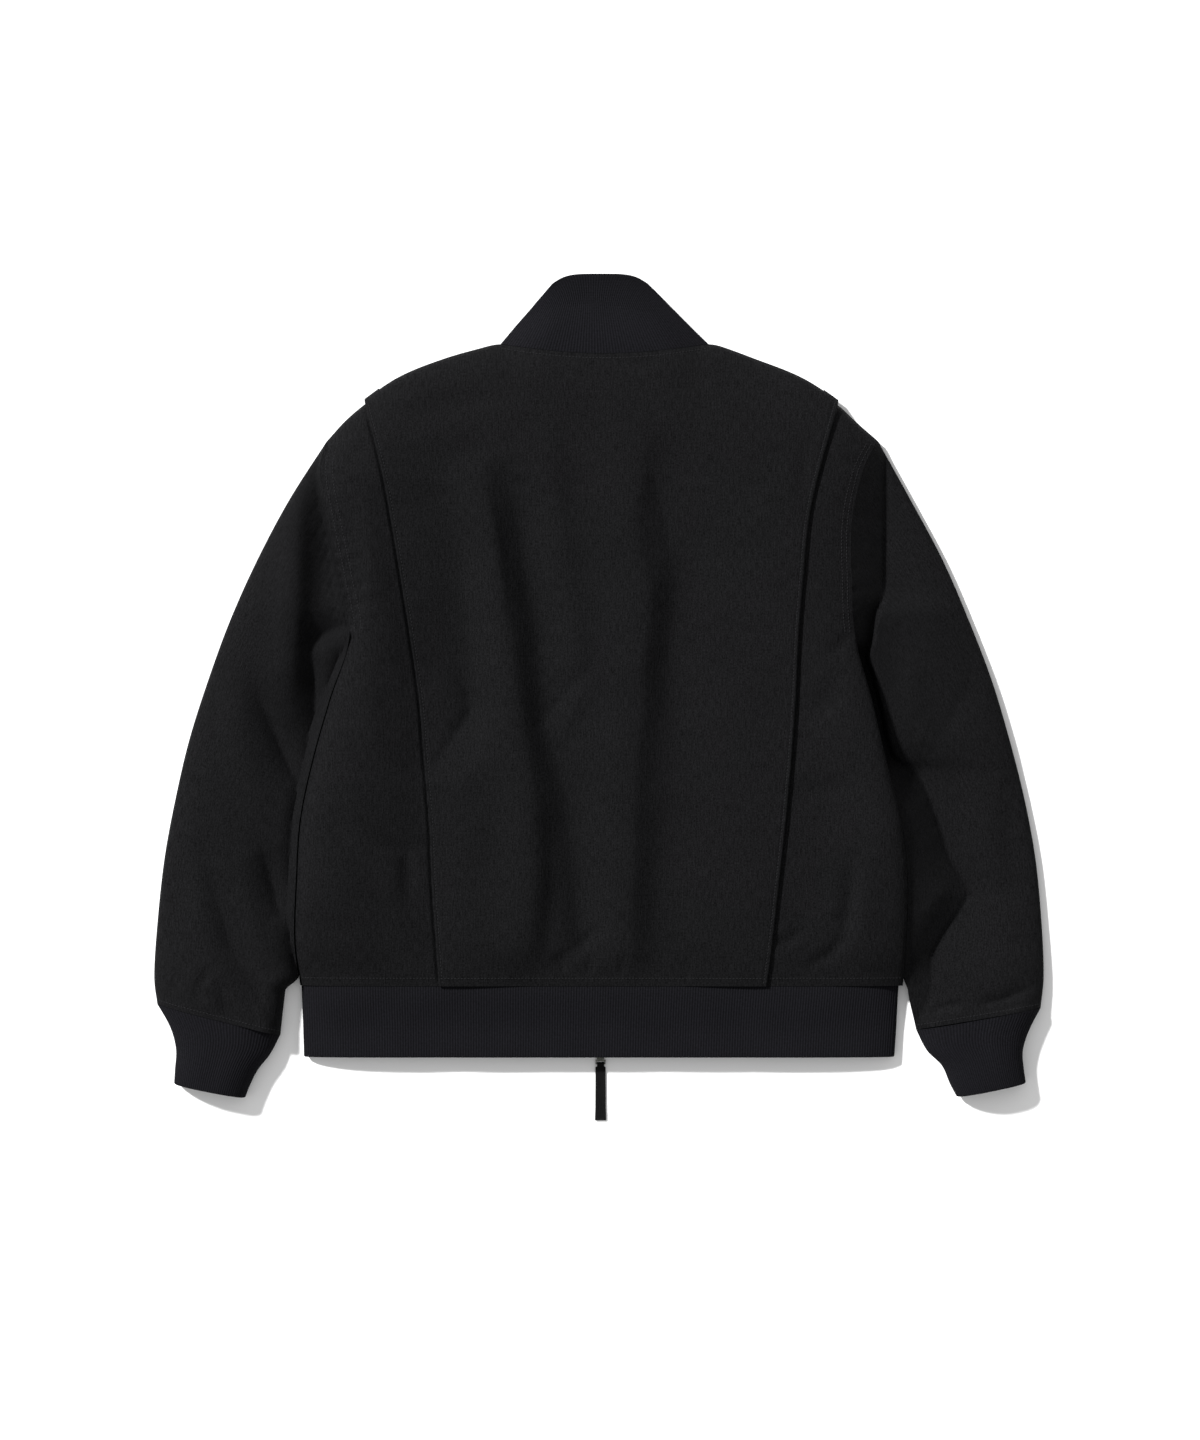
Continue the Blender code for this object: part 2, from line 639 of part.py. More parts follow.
def pleat_stack(side, share):
    """Height of the folded edge above the side panel; the right pleat gapes."""
    gape = RIGHT_GAPE * math.sin(math.pi * clamp(1.0 - share)) if side == "right" else 0.0
    return FOLD_STACK + gape


def pleat_lift(stack, inward):
    """How far the centre panel's face is above the body's surface, this far in from the fold."""
    over_underlay = CLOTH + 1.1
    if inward < RETURN + 1:
        return stack
    if inward < UNDERLAY + 1:
        return mix(stack, over_underlay, ease((inward - RETURN - 1) / (UNDERLAY - RETURN)))
    return over_underlay * (1.0 - ease((inward - UNDERLAY - 1) / (FOLD_FADE - UNDERLAY - 1)))


def spread(low, high, cells):
    return [mix(low, high, k / cells) for k in range(cells)]


def centre_span(y):
    """The smooth middle of the centre panel, clear of both folded edges."""
    return fold_x("left", y) + FOLD_FADE, fold_x("right", y) - FOLD_FADE


def centre_shares():
    """Across the centre panel between its two pleats, with a column at each neck corner."""
    left, right = centre_span(FOLD_TOP_Y)
    corner_a = (NECK_X - NECK_HALF - left) / (right - left)
    corner_b = (NECK_X + NECK_HALF - left) / (right - left)
    return spread(0, corner_a, 3) + spread(corner_a, corner_b, 20) + spread(corner_b, 1, 3) + [1]


def build_centre(material, collection):
    insets = [8.0, RETURN + 1, UNDERLAY + 1, 38.0]
    folds_round = [-90.0, -45.0, 0.0, 45.0, 90.0]
    shares_across = centre_shares()
    grid = []
    neck_columns = set()
    for share in BACK_SHARES:
        fold_y = mix(HEM_Y, FOLD_TOP_Y, share)

        def place(x_now, x_top):
            return x_now, mix(HEM_Y, top_y(x_top, SHOULDER_STEP), share)

        edges = {}
        for side in ("left", "right"):
            sign = SIGN[side]
            stack = pleat_stack(side, share)
            radius = (stack - FOLD_CLEAR) / 2
            fold_now, fold_top = fold_x(side, fold_y), fold_x(side, FOLD_TOP_Y)
            column = []
            x, y = place(fold_now - sign * RETURN, fold_top - sign * RETURN)
            column.append((x, y, body_height(x, y, SHOULDER_STEP) + FOLD_CLEAR))
            for angle in folds_round:
                a = math.radians(angle)
                inward = radius * (1.0 - math.cos(a))
                x, y = place(fold_now - sign * inward, fold_top - sign * inward)
                base = body_height(x, y, SHOULDER_STEP) + FOLD_CLEAR
                column.append((x, y, base + radius * (1.0 + math.sin(a))))
            for inward in insets:
                x, y = place(fold_now - sign * inward, fold_top - sign * inward)
                lift = pleat_lift(stack, inward)
                column.append((x, y, body_height(x, y, SHOULDER_STEP) + lift))
            edges[side] = column
        left, right = centre_span(fold_y)
        left_top, right_top = centre_span(FOLD_TOP_Y)
        middle = []
        for k, across in enumerate(shares_across):
            x_top = mix(left_top, right_top, across)
            if in_neck(x_top):
                neck_columns.add(len(edges["left"]) + k)
            x, y = place(mix(left, right, across), x_top)
            middle.append((x, y, body_height(x, y, SHOULDER_STEP)))
        grid.append(edges["left"] + middle + edges["right"][::-1])
    fold_columns = len(folds_round)
    columns = len(grid[0])
    for angle in TURN_ANGLES + [None]:
        row = []
        for x, y, _ in grid[TOP_ROW]:
            if angle is None:
                row.append((x, shoulder_seam_y(x), 0.0))
            else:
                inward, height = turn(FOLD_RADIUS, angle)
                row.append((x, y - inward, height))
        grid.append(row)

    def active(i, j):
        if i < TOP_ROW:
            return True
        on_shoulder = fold_columns <= j < columns - 1 - fold_columns
        return on_shoulder and not (j in neck_columns or j + 1 in neck_columns)

    def cut_square(i, j):
        if i == 0 or i == TOP_ROW and j in neck_columns:
            return (0.0, 1.0, 0.0)
        return None

    return build_wall("back_centre", grid, CLOTH, material, collection, cut_square, active)


# ---------------------------------------------------------------- the fronts

FRONT_SHARES = BACK_SHARES[:UNDERARM_ROW + 1] + [.6428, .664, .73, .83, .915, .975]
NECK_SHARES = [1.0, .93, .78, .55, .3, 0.0]


def build_front(side, material, collection):
    """Flat on the surface: from the side and shoulder seams to the zip."""
    sign = SIGN[side]
    strip = SEAM_INSET + SEAM_GAP
    centre = ZIP_X + sign * FRONT_EDGE
    top_share = FRONT_SHARES[-1]
    top_edge = edge_x(side, edge_y(top_share)) - sign * strip
    fold = fold_x(side, FOLD_TOP_Y)
    corner = neckline(side, 1.0)[0]
    tops = [(fold, shoulder_seam_y(fold) - SEAM_GAP)]
    half_way = mix(fold, corner, 0.5)
    tops.append((half_way, shoulder_seam_y(half_way) - SEAM_GAP))
    for share in NECK_SHARES:
        x, y = neckline(side, share)
        tops.append((x, y - SEAM_GAP))
    grid = []
    for share in FRONT_SHARES:
        y = edge_y(share)
        x = edge_x(side, y)
        inset = x - sign * strip
        row = [(x, y, 0.0), (inset, y, 0.0)]
        if share == top_share:
            row[1] = (inset, shoulder_seam_y(inset) - SEAM_GAP, 0.0)
        for top_x, top in tops:
            across = (top_x - top_edge) / (centre - top_edge)
            row.append((mix(inset, centre, across), mix(HEM_Y, top, share / top_share), 0.0))
        grid.append(row)

    def active(i, j):
        return j > 0 or i > UNDERARM_ROW

    return build_wall(f"front_{side}", grid, CLOTH, material, collection, active=active,
                      flip=side == "left")


# ---------------------------------------------------------------- sleeves and cuffs

ARMHOLE_SHARES = [(TIP_Y - edge_y(share)) / (TIP_Y - UNDERARM_Y)
                  for share in reversed(BACK_SHARES[UNDERARM_ROW:])]
UNDER_SHARES = [(TIP_Y - edge_y(share)) / (TIP_Y - UNDERARM_Y)
                for share in (.664, .73, .83, .915, .975)]
CUFF_UNDER_SHARES = [.75, .5, .25]
SLEEVE_OUTER_LENGTH = 555.0
SLEEVE_INNER_LENGTH = 385.0
SLEEVE_TABLES = {"left": SLEEVE_LEFT, "right": SLEEVE_RIGHT}
SLEEVE_FOLDS = {"left": SLEEVE_FOLDS_LEFT, "right": SLEEVE_FOLDS_RIGHT}
CUFF_TABLES = {"left": CUFF_LEFT, "right": CUFF_RIGHT}


def tube_ring(width, radius, under_shares, height_at, plan_at):
    """Points round a flattened tube: over the top from its outer edge, then back underneath."""
    ring = []
    for share in ARMHOLE_SHARES:
        x, y = plan_at(share)
        ring.append((x, y, height_at(share)))
    for angle in TURN_ANGLES:
        inward, height = turn(radius, angle)
        ring.append((*plan_at(1.0 - inward / width), height))
    ring += [(*plan_at(share), 0.0) for share in under_shares]
    for angle in reversed(TURN_ANGLES):
        inward, height = turn(radius, angle)
        ring.append((*plan_at(inward / width), height))
    return ring


def dip(x, y, own):
    """The right sleeve's height where it falls from the body's edge into its dip and rises again."""
    beyond = x - read(DIP, "y", "x", y)
    low = read(DIP, "y", "low", y) * max(own - DIP_FLOOR, 0.0)
    shore = own - low * math.exp(-max(beyond, 0.0) / DIP_SPREAD)
    edge = edge_x("right", y)
    bank = body_height(edge, y) * read(DIP, "y", "bank", y)
    slope = mix(DIP_FLOOR, bank, clamp(-beyond / max(x - beyond - edge, 1.0)))
    return mix(shore, slope, ease(-beyond / DIP_WALL))


def sleeve_ring(side, station):
    table, sign = SLEEVE_TABLES[side], SIGN[side]
    outer = Vector((read_row(table, "outer_x", station), read_row(table, "outer_y", station)))
    inner = Vector((read_row(table, "inner_x", station), read_row(table, "inner_y", station)))
    body = edge_x(side, inner.y) + sign * SIDE_GAP
    apart = ease((APART_FROM_Y - inner.y) / APART_RUN) * max(sign * (inner.x - body), 0.0)
    inner.x = body + sign * apart
    body_edge = 0.0
    if side == "left" and inner.y > APART_FROM_Y:
        body_edge = body_height(edge_x(side, inner.y), inner.y) + BESIDE_RISE
    height = read_row(table, "height", station)
    width = (inner - outer).length
    start_outer = Vector((table[0].outer_x, table[0].outer_y))
    start_inner = Vector((table[0].inner_x, table[0].inner_y))
    follow = (1.0 - clamp(station / 0.25)) ** 2

    def armhole_place(share):
        y = mix(TIP_Y, UNDERARM_Y, share)
        return Vector((edge_x(side, y) + sign * mix(SEAM_GAP, SIDE_GAP, share ** 6), y))

    def plan_at(share):
        bulge = armhole_place(share) - start_outer.lerp(start_inner, share)
        place = outer.lerp(inner, share) + bulge * follow
        return place.x, place.y

    def height_at(share):
        run = station * mix(SLEEVE_OUTER_LENGTH, SLEEVE_INNER_LENGTH, share)
        reach = 0.42 * width
        inner_reach = mix(reach, 0.16 * width, ease((UNDERARM_Y - inner.y) / 60.0))
        fill = arch(share * width, reach) * arch((1.0 - share) * width, inner_reach)
        y = mix(TIP_Y, UNDERARM_Y, share)
        at_armhole = body_height(edge_x(side, y), y)
        x, y = plan_at(share)
        own = FOLD_RADIUS + (height - FOLD_RADIUS) * fill
        level = dip(x, y, own) if side == "right" else mix(at_armhole, own, ease(run / ARMHOLE_BLEND))
        level += fold_height(SLEEVE_FOLDS[side], x, y) * fill * ease(run / CREASE_START)
        beside = body_edge * (1.0 - ease((1.0 - share) * width / BESIDE))
        return max(level, beside, FOLD_RADIUS)

    return tube_ring(width, FOLD_RADIUS, UNDER_SHARES, height_at, plan_at)


def build_sleeve(side, material, collection):
    grid = [sleeve_ring(side, station) for station in SLEEVE_STATIONS]
    table = SLEEVE_TABLES[side]
    across = Vector((table[-1].inner_x - table[-1].outer_x, table[-1].inner_y - table[-1].outer_y))
    end_facing = (-across.y, across.x, 0.0)

    def cut_square(i, j):
        if i == 0:
            return armhole_facing(side, grid[i][j][1])
        if i == len(grid) - 1:
            return end_facing
        return None

    return build_wall(f"sleeve_{side}", grid, CLOTH, material, collection, cut_square, closed=True,
                      flip=side == "left")


def build_cuff(side, material, collection):
    """Gathers the sleeve's end, then runs almost straight to its own."""
    last = SLEEVE_TABLES[side][-1]
    across = Vector((last.inner_x - last.outer_x, last.inner_y - last.outer_y)).normalized()
    onward = Vector((across.y, -across.x)) * -SIGN[side] * SEAM_GAP
    first = CuffRow(last.outer_x + onward.x, last.outer_y + onward.y,
                    last.inner_x + onward.x, last.inner_y + onward.y, last.height)
    grid, facings = [], []
    for k, row in enumerate([first] + CUFF_TABLES[side]):
        outer = Vector((row.outer_x, row.outer_y))
        inner = Vector((row.inner_x, row.inner_y))
        width = (inner - outer).length
        radius = FOLD_RADIUS if k == 0 else CUFF_FOLD_RADIUS

        def plan_at(share):
            place = outer.lerp(inner, share)
            return place.x, place.y

        def height_at(share):
            reach = 0.42 * width
            fill = arch(share * width, reach) * arch((1.0 - share) * width, reach)
            return radius + (row.height - radius) * fill

        grid.append(tube_ring(width, radius, CUFF_UNDER_SHARES, height_at, plan_at))
        facings.append((-(inner - outer).y, (inner - outer).x, 0.0))

    def cut_square(i, j):
        return facings[i] if i in (0, len(grid) - 1) else None

    return build_wall(f"cuff_{side}", grid, RIB, material, collection, cut_square, closed=True,
                      flip=side == "left")


# ---------------------------------------------------------------- waistband and collar

def half_ring(ring_shares):
    return [1.0 - share for share in reversed(ring_shares)]


def build_hem(material, collection):
    """Runs from the zip round the left side, over the back and round to the zip again."""
    edge_shares = [0, .004, .018, .045, .09, .16, .25, .37]
    top_shares = edge_shares + [.5] + half_ring(edge_shares)
    under_shares = [0, .33, .67, 1]
    seam_left = BODY_EDGES[0].left + 1.0
    seam_right = BODY_EDGES[0].right - 3.5
    grid = []
    for share in (0, .15, .5, 1):
        y = mix(HEM_Y - SEAM_GAP, HEM_END_Y, share)
        left, right = mix(seam_left, HEM_LEFT, share), mix(seam_right, HEM_RIGHT, share)
        height = mix(CROWN[0].height, HEM_END_HEIGHT, ease(share * 1.5))
        width = right - left
        row = []
        for s in under_shares:
            row.append((mix(ZIP_X - CHANNEL_HALF, left + FOLD_RADIUS, s), y, 0.0))
        for angle in (60.0, 30.0):
            inward, up = turn(FOLD_RADIUS, angle)
            row.append((left + inward, y, up))
        for s in top_shares:
            fill = arch(min(s, 1.0 - s) * width, SIDE_REACH)
            row.append((mix(left, right, s), y, FOLD_RADIUS + (height - FOLD_RADIUS) * fill))
        for angle in (30.0, 60.0):
            inward, up = turn(FOLD_RADIUS, angle)
            row.append((right - inward, y, up))
        for s in half_ring(under_shares):
            row.append((mix(right - FOLD_RADIUS, ZIP_X + CHANNEL_HALF, s), y, 0.0))
        grid.append(row)

    def cut_square(i, j):
        return (0.0, 1.0, 0.0) if i in (0, len(grid) - 1) else None

    return build_wall("hem_band", grid, RIB, material, collection, cut_square, flip=True)


def collar_column(seam, top, share):
    """A point on the way up the collar."""
    return (mix(seam[0], top[0], share), mix(seam[1], top[1], share),
            mix(seam[2], top[2], ease(share)))


def build_collar(material, collection):
    """Runs from the zip round the left of the neck, over the back of it and round again."""
    def lower_side(side):
        sign = SIGN[side]
        edge = NECK_X + sign * (NECK_HALF - SEAM_GAP - 0.2)
        top_edge = COLLAR_TOP_X + sign * COLLAR_TOP_HALF
        columns = []
        for share in reversed(NECK_SHARES[1:]):
            x, y = neckline(side, share)
            top_x = mix(ZIP_X + sign * COLLAR_OPENING, top_edge - sign * COLLAR_FOLD_RADIUS, share)
            top = mix(COLLAR_FRONT_TOP_Y, COLLAR_TOP_Y - COLLAR_CORNER - 2.0, share ** 1.3)
            columns.append(((x, y + SEAM_GAP, 0.0), (top_x, top, 0.0)))
        for angle in reversed(TURN_ANGLES):
            inward, height = turn(FOLD_RADIUS, angle)
            top_inward, top_height = turn(COLLAR_FOLD_RADIUS, angle)
            columns.append(((edge, NECK_CORNER_Y - inward, height),
                            (top_edge - sign * top_inward, COLLAR_TOP_Y - COLLAR_CORNER, top_height)))
        return columns

    upper = []
    cells = 10
    for k in range(cells + 1):
        across = k / cells
        x = mix(NECK_X - NECK_HALF + 0.5, NECK_X + NECK_HALF - 0.5, across)
        y = top_y(x)
        top_x = mix(-COLLAR_TOP_HALF, COLLAR_TOP_HALF, across)
        height = arch(COLLAR_TOP_HALF - abs(top_x), 30.0) * (COLLAR_HEIGHT - COLLAR_FOLD_RADIUS)
        corner = COLLAR_CORNER * (abs(top_x) / COLLAR_TOP_HALF) ** 4
        upper.append(((x, y + SEAM_GAP, body_height(x, y)),
                      (COLLAR_TOP_X + top_x, COLLAR_TOP_Y - corner, COLLAR_FOLD_RADIUS + height)))
    columns = lower_side("left") + upper + lower_side("right")[::-1]
    grid = [[collar_column(seam, top, share) for seam, top in columns]
            for share in (0, .12, .35, .6, .85, 1)]

    def cut_square(i, j):
        return (0.0, 1.0, 0.0) if i in (0, len(grid) - 1) else None

    return build_wall("collar", grid, RIB, material, collection, cut_square)


# ---------------------------------------------------------------- zip, slider and pull

def build_zip(side, material, collection):
    """Tape and plain chain strip of one side, inside the fronts and over the waistband's end."""
    sign = SIGN[side]
    slider_end = HINGE_Y + SLIDER_CLEAR + SLIDER_LENGTH + SEAM_GAP
    top = neckline(side, 0.0)[1] - 2.0
    across = [SEAM_GAP / 2, CHAIN_HALF, CHAIN_HALF + 0.8, SLIDER_HALF + 0.6, TAPE_WIDTH]
    chain = [1.0, 1.0, 0.0, 0.0, 0.0]
    upper, lower = [], []
    for y, drop in ((HEM_END_Y, 0.0), (slider_end, 0.0), (HEM_Y, 0.0), (HEM_Y + 14.0, 1.1), (top, 1.1)):
        base = ZIP_FLOOR - drop
        upper.append([(ZIP_X + sign * x, y, base + mix(TAPE, CHAIN, c)) for x, c in zip(across, chain)])
        lower.append([(ZIP_X + sign * x, y, base) for x in across])

    def active(i, j):
        return i > 0 or j == len(across) - 2

    return build_wall(f"zip_{side}", upper, TAPE, material, collection, active=active,
                      flip=side == "left", inner=lower)


def box(bm, low, high):
    """A block between two corners."""
    size = [high[k] - low[k] for k in range(3)]
    middle = [(high[k] + low[k]) / 2 for k in range(3)]
    place = Matrix.Translation(middle) @ Matrix.Diagonal((*size, 1.0))
    return bmesh.ops.create_cube(bm, size=1.0, matrix=place)["verts"]


def rod(bm, radius, half_length, y, z, sides=16):
    """A round bar along X."""
    place = Matrix.Translation((ZIP_X, y, z)) @ Matrix.Rotation(math.pi / 2, 4, "Y")
    bmesh.ops.create_cone(bm, cap_ends=True, segments=sides, radius1=radius, radius2=radius,
                          depth=2.0 * half_length, matrix=place)


def as_cutter(name, make, cutters):
    """A hidden solid that another one is joined with or cut by."""
    bm = bmesh.new()
    make(bm)
    bmesh.ops.scale(bm, vec=(MM, MM, MM), verts=bm.verts)
    mesh = bpy.data.meshes.new(name)
    bm.to_mesh(mesh)
    bm.free()
    obj = bpy.data.objects.new(name, mesh)
    obj.hide_render = True
    obj.display_type = "WIRE"
    cutters.objects.link(obj)
    return obj


def combine(obj, other, operation):
    boolean = obj.modifiers.new(operation.title(), "BOOLEAN")
    boolean.operation = operation
    boolean.solver = "EXACT"
    boolean.object = other


def build_slider(material, collection, cutters):
    """Its body, two round ears under the front end, and the pin between them."""
    front = HINGE_Y + SLIDER_CLEAR
    bm = bmesh.new()
    box(bm, (ZIP_X - SLIDER_HALF, front, ZIP_FLOOR),
        (ZIP_X + SLIDER_HALF, front + SLIDER_LENGTH, SLIDER_TOP))
    bmesh.ops.bevel(bm, geom=bm.edges[:], offset=0.5, segments=2, affect="EDGES", profile=0.5)
    slider = add_object("slider", bm, material, collection)

    for side, sign in SIGN.items():
        def ear(b):
            low, high = sorted((ZIP_X + sign * EAR_INNER, ZIP_X + sign * EAR_OUTER))
            place = Matrix.Translation(((low + high) / 2, HINGE_Y, HINGE_Z))
            bmesh.ops.create_cone(b, cap_ends=True, segments=20, radius1=EAR_RADIUS,
                                  radius2=EAR_RADIUS, depth=high - low,
                                  matrix=place @ Matrix.Rotation(math.pi / 2, 4, "Y"))

        def stem(b):
            low, high = sorted((ZIP_X + sign * (EAR_INNER + 0.1), ZIP_X + sign * (EAR_OUTER - 0.1)))
            box(b, (low, HINGE_Y + 0.2, HINGE_Z), (high, HINGE_Y + 1.1, ZIP_FLOOR + 1.5))

        combine(slider, as_cutter(f"ear_{side}", ear, cutters), "UNION")
        combine(slider, as_cutter(f"stem_{side}", stem, cutters), "UNION")
    pin = as_cutter("pin", lambda b: rod(b, PIN_RADIUS, (EAR_INNER + EAR_OUTER) / 2, HINGE_Y,
                                         HINGE_Z, 12), cutters)
    combine(slider, pin, "UNION")
    return slider


def build_link(material, collection, cutters):
    """A barrel on the slider's pin, and a flat loop that the tab hangs on."""
    bm = bmesh.new()
    rod(bm, BARREL_RADIUS, EAR_INNER - SEAM_GAP, HINGE_Y, HINGE_Z, 20)
    link = add_object("pull_link", bm, material, collection)
    thick = LINK_THICKNESS / 2

    def neck(b):
        box(b, (ZIP_X - 1.8, HINGE_Y - LINK_SHOULDER - 0.5, HINGE_Z - thick),
            (ZIP_X + 1.8, HINGE_Y - 0.2, HINGE_Z + thick))

    def shoulder(b):
        box(b, (ZIP_X - LINK_HALF, HINGE_Y - LINK_SHOULDER - 1.1, HINGE_Z - thick),
            (ZIP_X + LINK_HALF, HINGE_Y - LINK_SHOULDER, HINGE_Z + thick))

    def arm(sign):
        def make(b):
            low, high = sorted((ZIP_X + sign * (LINK_HALF - 0.9), ZIP_X + sign * LINK_HALF))
            box(b, (low, HINGE_Y - LINK_BAR - 0.6, HINGE_Z - thick * 0.98),
                (high, HINGE_Y - LINK_SHOULDER - 0.4, HINGE_Z + thick * 0.98))
        return make

    joined = {"link_neck": neck, "link_shoulder": shoulder, "link_arm_left": arm(-1.0),
              "link_arm_right": arm(1.0),
              "link_bar": lambda b: rod(b, BAR_RADIUS, LINK_HALF - 0.4, HINGE_Y - LINK_BAR, HINGE_Z, 12)}
    for name, make in joined.items():
        combine(link, as_cutter(name, make, cutters), "UNION")
    bore = as_cutter("link_bore", lambda b: rod(b, BORE_RADIUS, EAR_INNER + 1.0, HINGE_Y, HINGE_Z, 12),
                     cutters)
    combine(link, bore, "DIFFERENCE")
    return link


def build_tab(material, collection):
    """A doubled strip, folded round the link's bar and stitched flat."""
    bar_y = HINGE_Y - LINK_BAR
    loop = HINGE_Z
    flat_end = bar_y - TAB_LENGTH
    doubled = 2.0 * TAB_WALL + 0.1
    loop_half = LINK_HALF - 1.3
    path = [(flat_end, 0.0, TAB_HALF + 0.5), (flat_end + 12.0, 0.0, TAB_HALF + 0.2),
            (bar_y - 4.4, 0.0, TAB_HALF), (bar_y - 3.4, 0.0, TAB_HALF), (bar_y - 2.6, 0.0, loop_half)]
    for angle in range(-90, 91, 30):
        a = math.radians(angle)
        path.append((bar_y + loop * math.cos(a), loop * (1.0 + math.sin(a)), loop_half))
    path += [(bar_y - 2.6, 2.5, loop_half), (bar_y - 3.4, 2.3, TAB_HALF),
             (bar_y - 4.4, doubled + 0.2, TAB_HALF), (bar_y - 6.5, doubled, TAB_HALF),
             (flat_end + 12.0, doubled, TAB_HALF + 0.2), (flat_end, doubled, TAB_HALF + 0.5)]
    grid = [[(ZIP_X + across * half, y, z) for across in (-1.0, -0.33, 0.33, 1.0)]
            for y, z, half in path]
    return build_wall("pull_tab", grid, TAB_WALL, material, collection, flip=True)


# ---------------------------------------------------------------- the whole jacket

def main():
    for obj in list(bpy.data.objects):
        bpy.data.objects.remove(obj, do_unlink=True)
    jacket = bpy.data.collections.new("tanker_jacket")
    cutters = bpy.data.collections.new("cutters")
    bpy.context.scene.collection.children.link(jacket)
    bpy.context.scene.collection.children.link(cutters)

    build_centre(make_material("cloth_centre", BLACK_CLOTH), jacket)
    for side in SIGN:
        build_side(side, make_material(f"cloth_back_{side}", BLACK_CLOTH), jacket)
        build_front(side, make_material(f"cloth_front_{side}", BLACK_CLOTH), jacket)
        build_sleeve(side, make_material(f"cloth_sleeve_{side}", BLACK_CLOTH), jacket)
        build_cuff(side, make_material(f"rib_cuff_{side}", BLACK_RIB), jacket)
        build_zip(side, make_material(f"tape_{side}", BLACK_TAPE), jacket)
    build_hem(make_material("rib_hem", BLACK_RIB), jacket)
    build_collar(make_material("rib_collar", BLACK_RIB), jacket)
    build_slider(make_material("metal_slider", GREY_METAL), jacket, cutters)
    build_link(make_material("metal_link", GREY_METAL), jacket, cutters)
    build_tab(make_material("tab_leather", BLACK_TAB), jacket)


main()
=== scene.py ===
import json
import math
from collections import namedtuple

import bmesh
import bpy
import numpy as np
from bpy.props import FloatProperty, FloatVectorProperty, PointerProperty
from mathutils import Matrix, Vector, noise
from mathutils.bvhtree import BVHTree

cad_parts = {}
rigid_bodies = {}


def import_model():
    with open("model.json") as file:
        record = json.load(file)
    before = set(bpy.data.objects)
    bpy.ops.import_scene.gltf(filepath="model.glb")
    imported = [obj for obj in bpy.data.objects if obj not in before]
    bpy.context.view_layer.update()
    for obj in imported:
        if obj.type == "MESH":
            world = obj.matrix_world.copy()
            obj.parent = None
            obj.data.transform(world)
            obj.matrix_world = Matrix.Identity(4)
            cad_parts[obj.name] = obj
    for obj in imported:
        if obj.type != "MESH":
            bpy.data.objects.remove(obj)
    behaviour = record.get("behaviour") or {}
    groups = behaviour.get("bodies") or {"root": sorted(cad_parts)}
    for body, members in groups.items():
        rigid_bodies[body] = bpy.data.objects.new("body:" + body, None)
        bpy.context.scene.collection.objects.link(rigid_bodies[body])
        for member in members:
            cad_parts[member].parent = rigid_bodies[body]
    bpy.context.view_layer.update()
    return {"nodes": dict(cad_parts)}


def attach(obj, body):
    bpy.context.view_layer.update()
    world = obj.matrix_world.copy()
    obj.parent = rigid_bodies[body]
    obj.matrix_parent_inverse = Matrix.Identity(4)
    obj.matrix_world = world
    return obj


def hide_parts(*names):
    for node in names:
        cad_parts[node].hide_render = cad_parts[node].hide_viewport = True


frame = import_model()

bl_info = {
    "name": "Tanker Jacket",
    "version": (1, 0, 0),
    "blender": (4, 5, 0),
    "location": "3D View > Sidebar > Jacket",
    "description": "Dresses the solid model of a tanker jacket that lies face down",
    "category": "Object",
}

# Lengths in the tables and in the code are millimetres in the frame of the solid model: +X to the
# right of the back as it lies, +Y to the collar and +Z up. Meshes are written in metres.
MM = 0.001
SIGN = {"left": -1.0, "right": 1.0}
OTHER = {"left": "right", "right": "left"}


def table(kind, rows):
    """Rows of plain numbers as rows with named columns."""
    return [kind(*row) for row in rows]


# ---------------------------------------------------------------- sizes shared with the solid model

CLOTH = 1.8                 # body and sleeve cloth, with its backing
SHELL = 1.2                 # the back's panels, where they lie on each other in the pleats
RIB = 3.0                   # doubled rib knit
SEAM_GAP = 0.3
SIDE_GAP = 0.3              # between the body's side and the sleeve lying beside it
SEAM_INSET = 12.0           # the side and shoulder seams lie this far in, on the front
FOLD_RADIUS = 7.0
CUFF_FOLD_RADIUS = 9.0
COLLAR_FOLD_RADIUS = 5.0
SIDE_REACH = 75.0           # the cloth has its full height this far in from a folded edge
SHOULDER_REACH = 70.0
SHOULDER_SQUARE = 0.87      # turns a plan distance down from the slanting shoulder into one square to it
EDGE_ROUND = {"left": 9.0, "right": 3.0}    # the body's raised sides are rounded this far in
BESIDE = 22.0               # the left sleeve keeps the height of the body's edge this far out
BESIDE_RISE = 3.0           # and stands this much above it
NECK_LIFT = 22.0            # at the neck seam the cloth is as high as this far in from the shoulder's fold
NECK_RUN = 45.0             # that grows over this distance from the neck's corners
HEM_FADE = 14.0             # the creases are at full depth this far above the waistband
HEM_CREASES = 0.35          # share of their depth that is left at it
UNDERARM_FADE = 20.0        # the rounding of the sides dies out this far below the underarm

HEM_Y = -267.0              # waistband seam
HEM_END_Y = -333.5          # lower edge of the waistband
UNDERARM_Y = 57.2
TIP_Y = 238.5               # top of the armhole
FOLD_TOP_Y = 275.0          # where the pleat folds meet the shoulder
NECK_X = 5.0
NECK_HALF = 97.0
NECK_CORNER_Y = 328.0
BACK_NECK_DROP = 10.0
FRONT_NECK_DROP = 57.0

UNDERLAY = 25.0             # how far a side panel runs under the centre panel
RETURN = 14.0               # how far the centre panel's edge is folded back
FOLD_STACK = 3.2            # height of the folded edge above the side panel
RIGHT_GAPE = 1.6            # the right pleat stands this much higher at mid length
FOLD_CLEAR = 0.5            # between the side panel and the edge folded over it
FOLD_ZONE = 62.0            # its rows of points follow the fold this far in
FOLD_FADE = 95.0            # the centre panel is down at the body's surface this far in
SHOULDER_STEP = 3.7         # the centre panel stands this much past the side panels there
SHOULDER_STEP_RUN = 100.0   # that step grows over this distance from the neck

